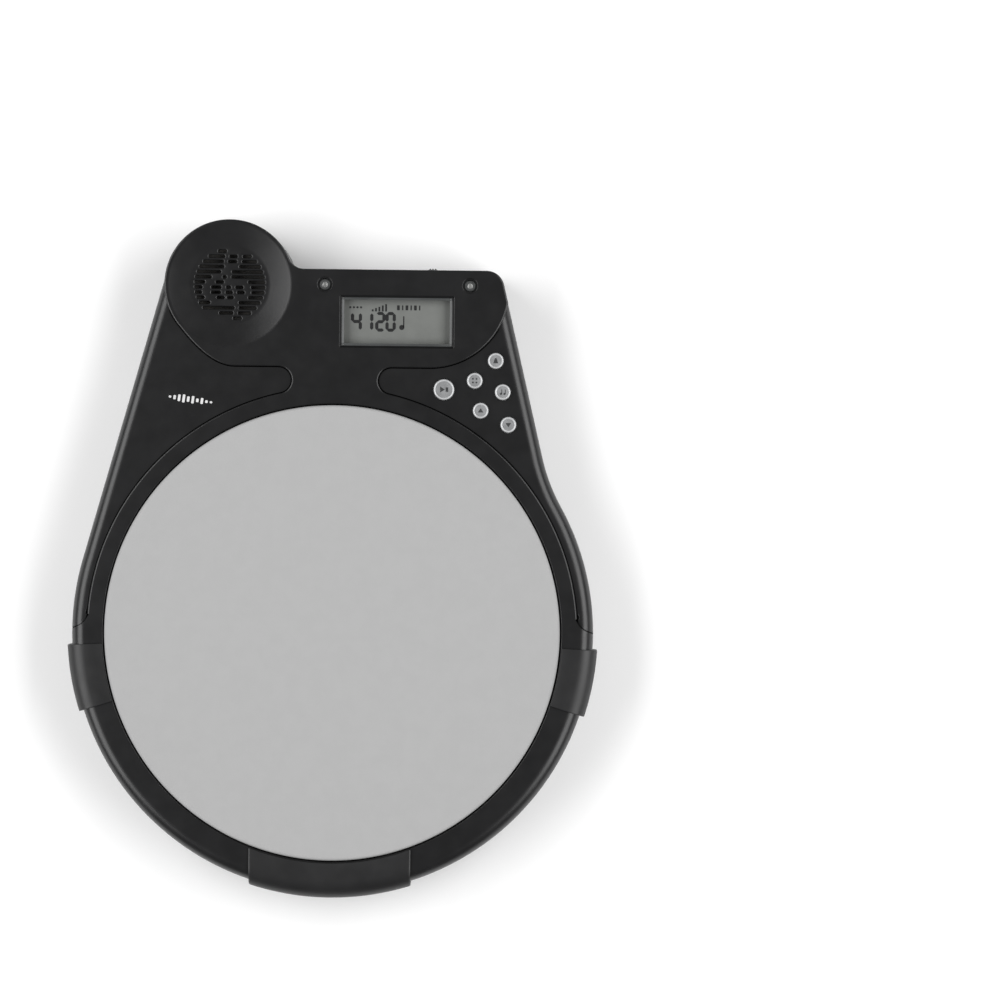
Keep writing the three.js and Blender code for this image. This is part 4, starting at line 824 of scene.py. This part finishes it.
nylon = surface("black_nylon", "141415", "1b1b1c", (0.4, 0.5), 5, 0.4, 0.006)
contact = surface("tinned_contact", "b9b7b0", "c6c4bd", (0.22, 0.32), 3, 0.4, 0.003, Metallic=1.0)
for name, (x, z) in sockets.items():
    bore, width, height = (3.1, 9, 7.6) if name == "power" else (1.8, 7, 6.0)
    block = slab(rectangle(-x, z, width - 0.1, height - 0.1, 0.3, 3), -14.4, -2.5, 0.3, 0.3)
    nose = [(bore - 0.15, -9.0), (bore - 0.15, -0.6), (bore + 0.05, -0.35), (bore + 0.4, -0.3),
        (bore + 0.5, -0.45), (bore + 0.5, -2.6)]
    back = [(0, -8.9), (bore - 0.15, -9.0)]
    if name == "power":
        metal = spun(-x, z, [(0, -2.2), (0.75, -2.35), (1.0, -2.8), (1.0, -8.9)], 20)
    else:
        metal = spun(-x, z, [(bore - 0.2, -1.4), (bore - 0.2, -2.2)], 24)
    skins = [(*upright(part), 0) for part in (*block, spun(-x, z, nose, 32), spun(-x, z, back, 32))]
    socket = piece(f"{name}_socket", [*skins, (*upright(metal), 1)], [nylon, contact])
    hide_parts(f"{name}_jack")

KNOB_X = 43
knob = slab(rectangle(-KNOB_X, SWITCH_Z, 4.0, 2.2, 0.3, 3), -2.2, 0.9, 0.25, 0.1)
for offset in (-1.2, 0, 1.2):
    knob += slab(rectangle(offset - KNOB_X, SWITCH_Z, 0.55, 2.0, 0.1, 2), 0.6, 1.28, 0.15, 0.02, 2)
knob = piece("switch_knob", [upright(part) for part in knob], [nylon], body="power_knob")
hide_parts("power_switch_knob")

wheel_turned = np.linspace(0, 360, 289)[:-1]
knurl = 9.3 - 0.45 * np.abs(np.sin(np.radians(wheel_turned * 24)))
rows = [(2.3, 25.1), (8.4, 25.1), (8.75, 25.0), (knurl, 24.75), (knurl, 22.95), (8.75, 22.7), (8.4, 22.6),
    (2.3, 22.6), (2.3, 25.1)]
rings = [lift(polar(radius, wheel_turned) + (WHEEL_X, 153.6), z) for radius, z in rows]
wheel = piece("volume_thumb_wheel", [strip(rings)], [nylon], body="volume_thumbwheel", crisp=45)
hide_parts("volume_wheel")

# ==== Feet ====
# Three self-adhesive pads of dark synthetic rubber with a leather-like grain: one oblong at the
# head and two curved ones round the recess, notched where the screws pass.

foot_rubber = surface("grained_foot_rubber", "191919", "1e1e1e", (0.66, 0.74), 4, 0.9, 0.09)
FOOT_OUT, FOOT_IN = 107.5, 87.4  # radii of the curved feet
FOOT_LOW, FOOT_HIGH = -64.1, 24.4  # directions of the right one's ends
CLEAR = 3.7  # radius of the notches round the screws


def curved_foot(side):
    """The loop of the right curved foot, or of its mirror image for side -1. At d degrees from a
    screw, the notch's near side is at radius SCREWS cos d - sqrt(CLEAR^2 - (SCREWS sin d)^2)."""
    angles = np.linspace(FOOT_LOW + 1.1, FOOT_HIGH - 1.1, 150)
    reach = np.full(len(angles), FOOT_OUT)
    for screw in (SCREW_MIDDLE, SCREW_LOW):
        along, across = SCREWS * polar(1.0, angles - screw).T
        near = along - np.sqrt(np.maximum(CLEAR**2 - across**2, 0))
        reach = np.where(np.abs(across) < CLEAR, np.minimum(reach, near), reach)
    outer = polar(reach, angles)
    corners = [bend(*(polar(radius, angle) for radius, angle in rounding)) for rounding in (
        [(FOOT_OUT, FOOT_HIGH - 1.1), (FOOT_OUT, FOOT_HIGH), (FOOT_OUT - 2.1, FOOT_HIGH)],
        [(FOOT_IN + 2, FOOT_HIGH), (FOOT_IN, FOOT_HIGH), (FOOT_IN, FOOT_HIGH - 1.3)],
        [(FOOT_IN, FOOT_LOW + 1.3), (FOOT_IN, FOOT_LOW), (FOOT_IN + 2, FOOT_LOW)],
        [(FOOT_OUT - 2.1, FOOT_LOW), (FOOT_OUT, FOOT_LOW), (FOOT_OUT, FOOT_LOW + 1.1)])]
    inner = polar(FOOT_IN, np.linspace(FOOT_HIGH - 1.3, FOOT_LOW + 1.3, 90))[1:]
    loop = np.concatenate([outer, corners[0][1:], corners[1], inner, corners[2][1:], corners[3][:-1]])
    return loop if side > 0 else (loop * (-1, 1))[::-1]


feet = {"top": rectangle(0, 113.4, 87.5, 33.5, 2.2, 6), "right": curved_foot(1), "left": curved_foot(-1)}
for name, loop in feet.items():
    foot = piece(f"foot_{name}", slab(loop, 0, 1.9, 0.1, 0.35), [foot_rubber])
    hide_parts(f"foot_pad_{name}")

# ==== Rating plate ====
# A gloss black foil label let into the underside. Its print is only plain silver rules.

label_foil = surface("gloss_black_foil", "101011", "151516", (0.18, 0.26), 12, 1.5, 0.002)
label_ink = surface("silver_print", "8e8f90", "9a9b9c", (0.4, 0.5), 4, 0.4, 0.002, Metallic=0.4)
parts = [(*part, 0) for part in slab(rectangle(0, LABEL_Y, 53.6, 19.9, 0.6, 4), 1.3, 1.58, 0.02, 0.06)]
rules = [rectangle(-14, LABEL_Y + 5 - 3.6 * k, long, 0.9) for k, long in enumerate((19, 16.5, 18, 14))]
rules += [rectangle(17, LABEL_Y + up, 10, 0.6) for up in (2.2, -3.8)]  # four rules make an empty box
rules += [rectangle(x, LABEL_Y - 0.8, 0.6, 5.4) for x in (12.3, 21.7)]
parts += [(*panel(1.27, rule, up=False), 1) for rule in rules]
label = piece("plain_label", parts, [label_foil, label_ink])
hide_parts("rating_label")

# ==== Case screws ====
# Eight zinc-plated pan-head screws with cross recesses, deep in their wells.

zinc = surface("zinc_plated_steel", "8d9095", "9da0a4", (0.3, 0.4), 3, 0.3, 0.003, Metallic=1.0)
SCREW_Z, CROSS_DEEP = 6.7, 1.2  # height of the heads' faces, and the depth of the recess in them
head_rows = [(1.95, SCREW_Z), (2.3, 6.78), (2.65, 7.1), (2.8, 7.6), (2.8, 8.6), (1.5, 8.7), (1.5, 15.0),
    (1.2, 22.0)]
arm = np.array([(0.35, -1.5), (0.35, -0.35), (1.5, -0.35)])
for k, (x, y) in enumerate(screw_places):
    loop = np.concatenate([arm @ spin(90 * q + 37 * k) for q in range(4)]) + (x, y)
    skins = [strip([lift(circle(x, y, r, 28), z) for r, z in head_rows], flip=True)]
    skins += [panel(SCREW_Z, circle(x, y, 1.95, 28), loop, up=False)]
    skins += [skirt(loop, SCREW_Z, [(0, 0), (-0.18, CROSS_DEEP)])]
    skins += [panel(SCREW_Z + CROSS_DEEP, moved(loop, -0.18), up=False)]
    screw = piece(f"screw_{k + 1}", skins, [zinc])
    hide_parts(f"case_screw_{k + 1}")

# ==== Inside pieces ====
# What the case hides keeps its modelled shape: the pad's foam and steel plate, the piezo disc,
# the boards and their parts, the loudspeaker and the leads. Each gets its own finish.


def dress(finish, slot_name, *names):
    """Gives the named mechanical pieces a finish. The slot name is not used."""
    for name in names:
        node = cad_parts[name]
        node.data.materials.clear()
        node.data.materials.append(finish)


foam = surface("charcoal_foam", "2a2a2c", "38383a", (0.9, 1.0), 2, 0.8, 0.2)
rolled = surface("rolled_steel", "8c8f93", "9b9ea1", (0.32, 0.45), 5, 0.5, 0.004, Metallic=1.0)
brass = surface("brass_disc", "a8863f", "b8974e", (0.3, 0.42), 4, 0.5, 0.003, Metallic=1.0)
mask = surface("green_solder_mask", "17492a", "1f5a34", (0.35, 0.5), 3, 0.6, 0.01)
cone = surface("pressed_black_paper", "1d1c1a", "282623", (0.85, 0.95), 3, 0.5, 0.03)
sleeve = surface("red_wire_sleeve", "7c1d1a", "8f2723", (0.45, 0.55), 6, 1, 0.004)
vinyl = surface("black_vinyl_snap", "161616", "1e1e1e", (0.5, 0.6), 4, 0.5, 0.01)
dress(foam, "foam", "pad_foam")
dress(rolled, "steel", "pad_plate", "speaker_frame", "speaker_magnet", "power_switch", "volume_pot",
    *(f"{name}_tact_switch" for name in signs))
dress(brass, "brass", "piezo_sensor")
dress(mask, "board", "main_board", "button_board")
dress(cone, "cone_paper", "speaker_cone")
dress(sleeve, "wire", "sensor_lead", "speaker_lead", "battery_lead")
dress(vinyl, "black_part", "battery_snap")

# ==== Floor, light and camera ====
# A wide pale table, large soft lights low on the left and right, a faint fill all round, and a
# long lens looking straight down.

scene = bpy.context.scene
paper = surface("matt_white_table", "fafafa", "fcfcfc", (0.85, 0.95), 90, 3, 0.01)
half = 4.0  # metres
corners = [(-half, -half, 0), (half, -half, 0), (half, half, 0), (-half, half, 0)]
floor_mesh = bpy.data.meshes.new("table")
floor_mesh.from_pydata(corners, [], [(0, 1, 2, 3)])
floor_mesh.materials.append(paper)
table = bpy.data.objects.new("table", floor_mesh)
scene.collection.objects.link(table)

world = bpy.data.worlds.new("soft_fill")
world.use_nodes = True
world.node_tree.nodes["Background"].inputs["Color"].default_value = (1, 1, 1, 1)
world.node_tree.nodes["Background"].inputs["Strength"].default_value = 0.2
scene.world = world
for name, x in (("soft_left", -0.85), ("soft_right", 0.85)):
    lamp = bpy.data.lights.new(name, "AREA")
    lamp.shape, lamp.size, lamp.size_y, lamp.energy = "RECTANGLE", 1.6, 0.7, 14.5
    light = bpy.data.objects.new(name, lamp)
    place = Vector((x, 0.05, 0.78))
    light.location = place
    light.rotation_euler = (Vector((0, 0, 0.02)) - place).to_track_quat("-Z", "Y").to_euler()
    scene.collection.objects.link(light)

camera_data = bpy.data.cameras.new("camera")
camera_data.lens = 120
camera_data.sensor_width = 36
camera = bpy.data.objects.new("camera", camera_data)
camera.location = (0.0743, 0.0275, 1.519)
camera.rotation_euler = (0, 0, math.radians(0.65))
scene.collection.objects.link(camera)
scene.camera = camera
scene.view_settings.view_transform = "Standard"
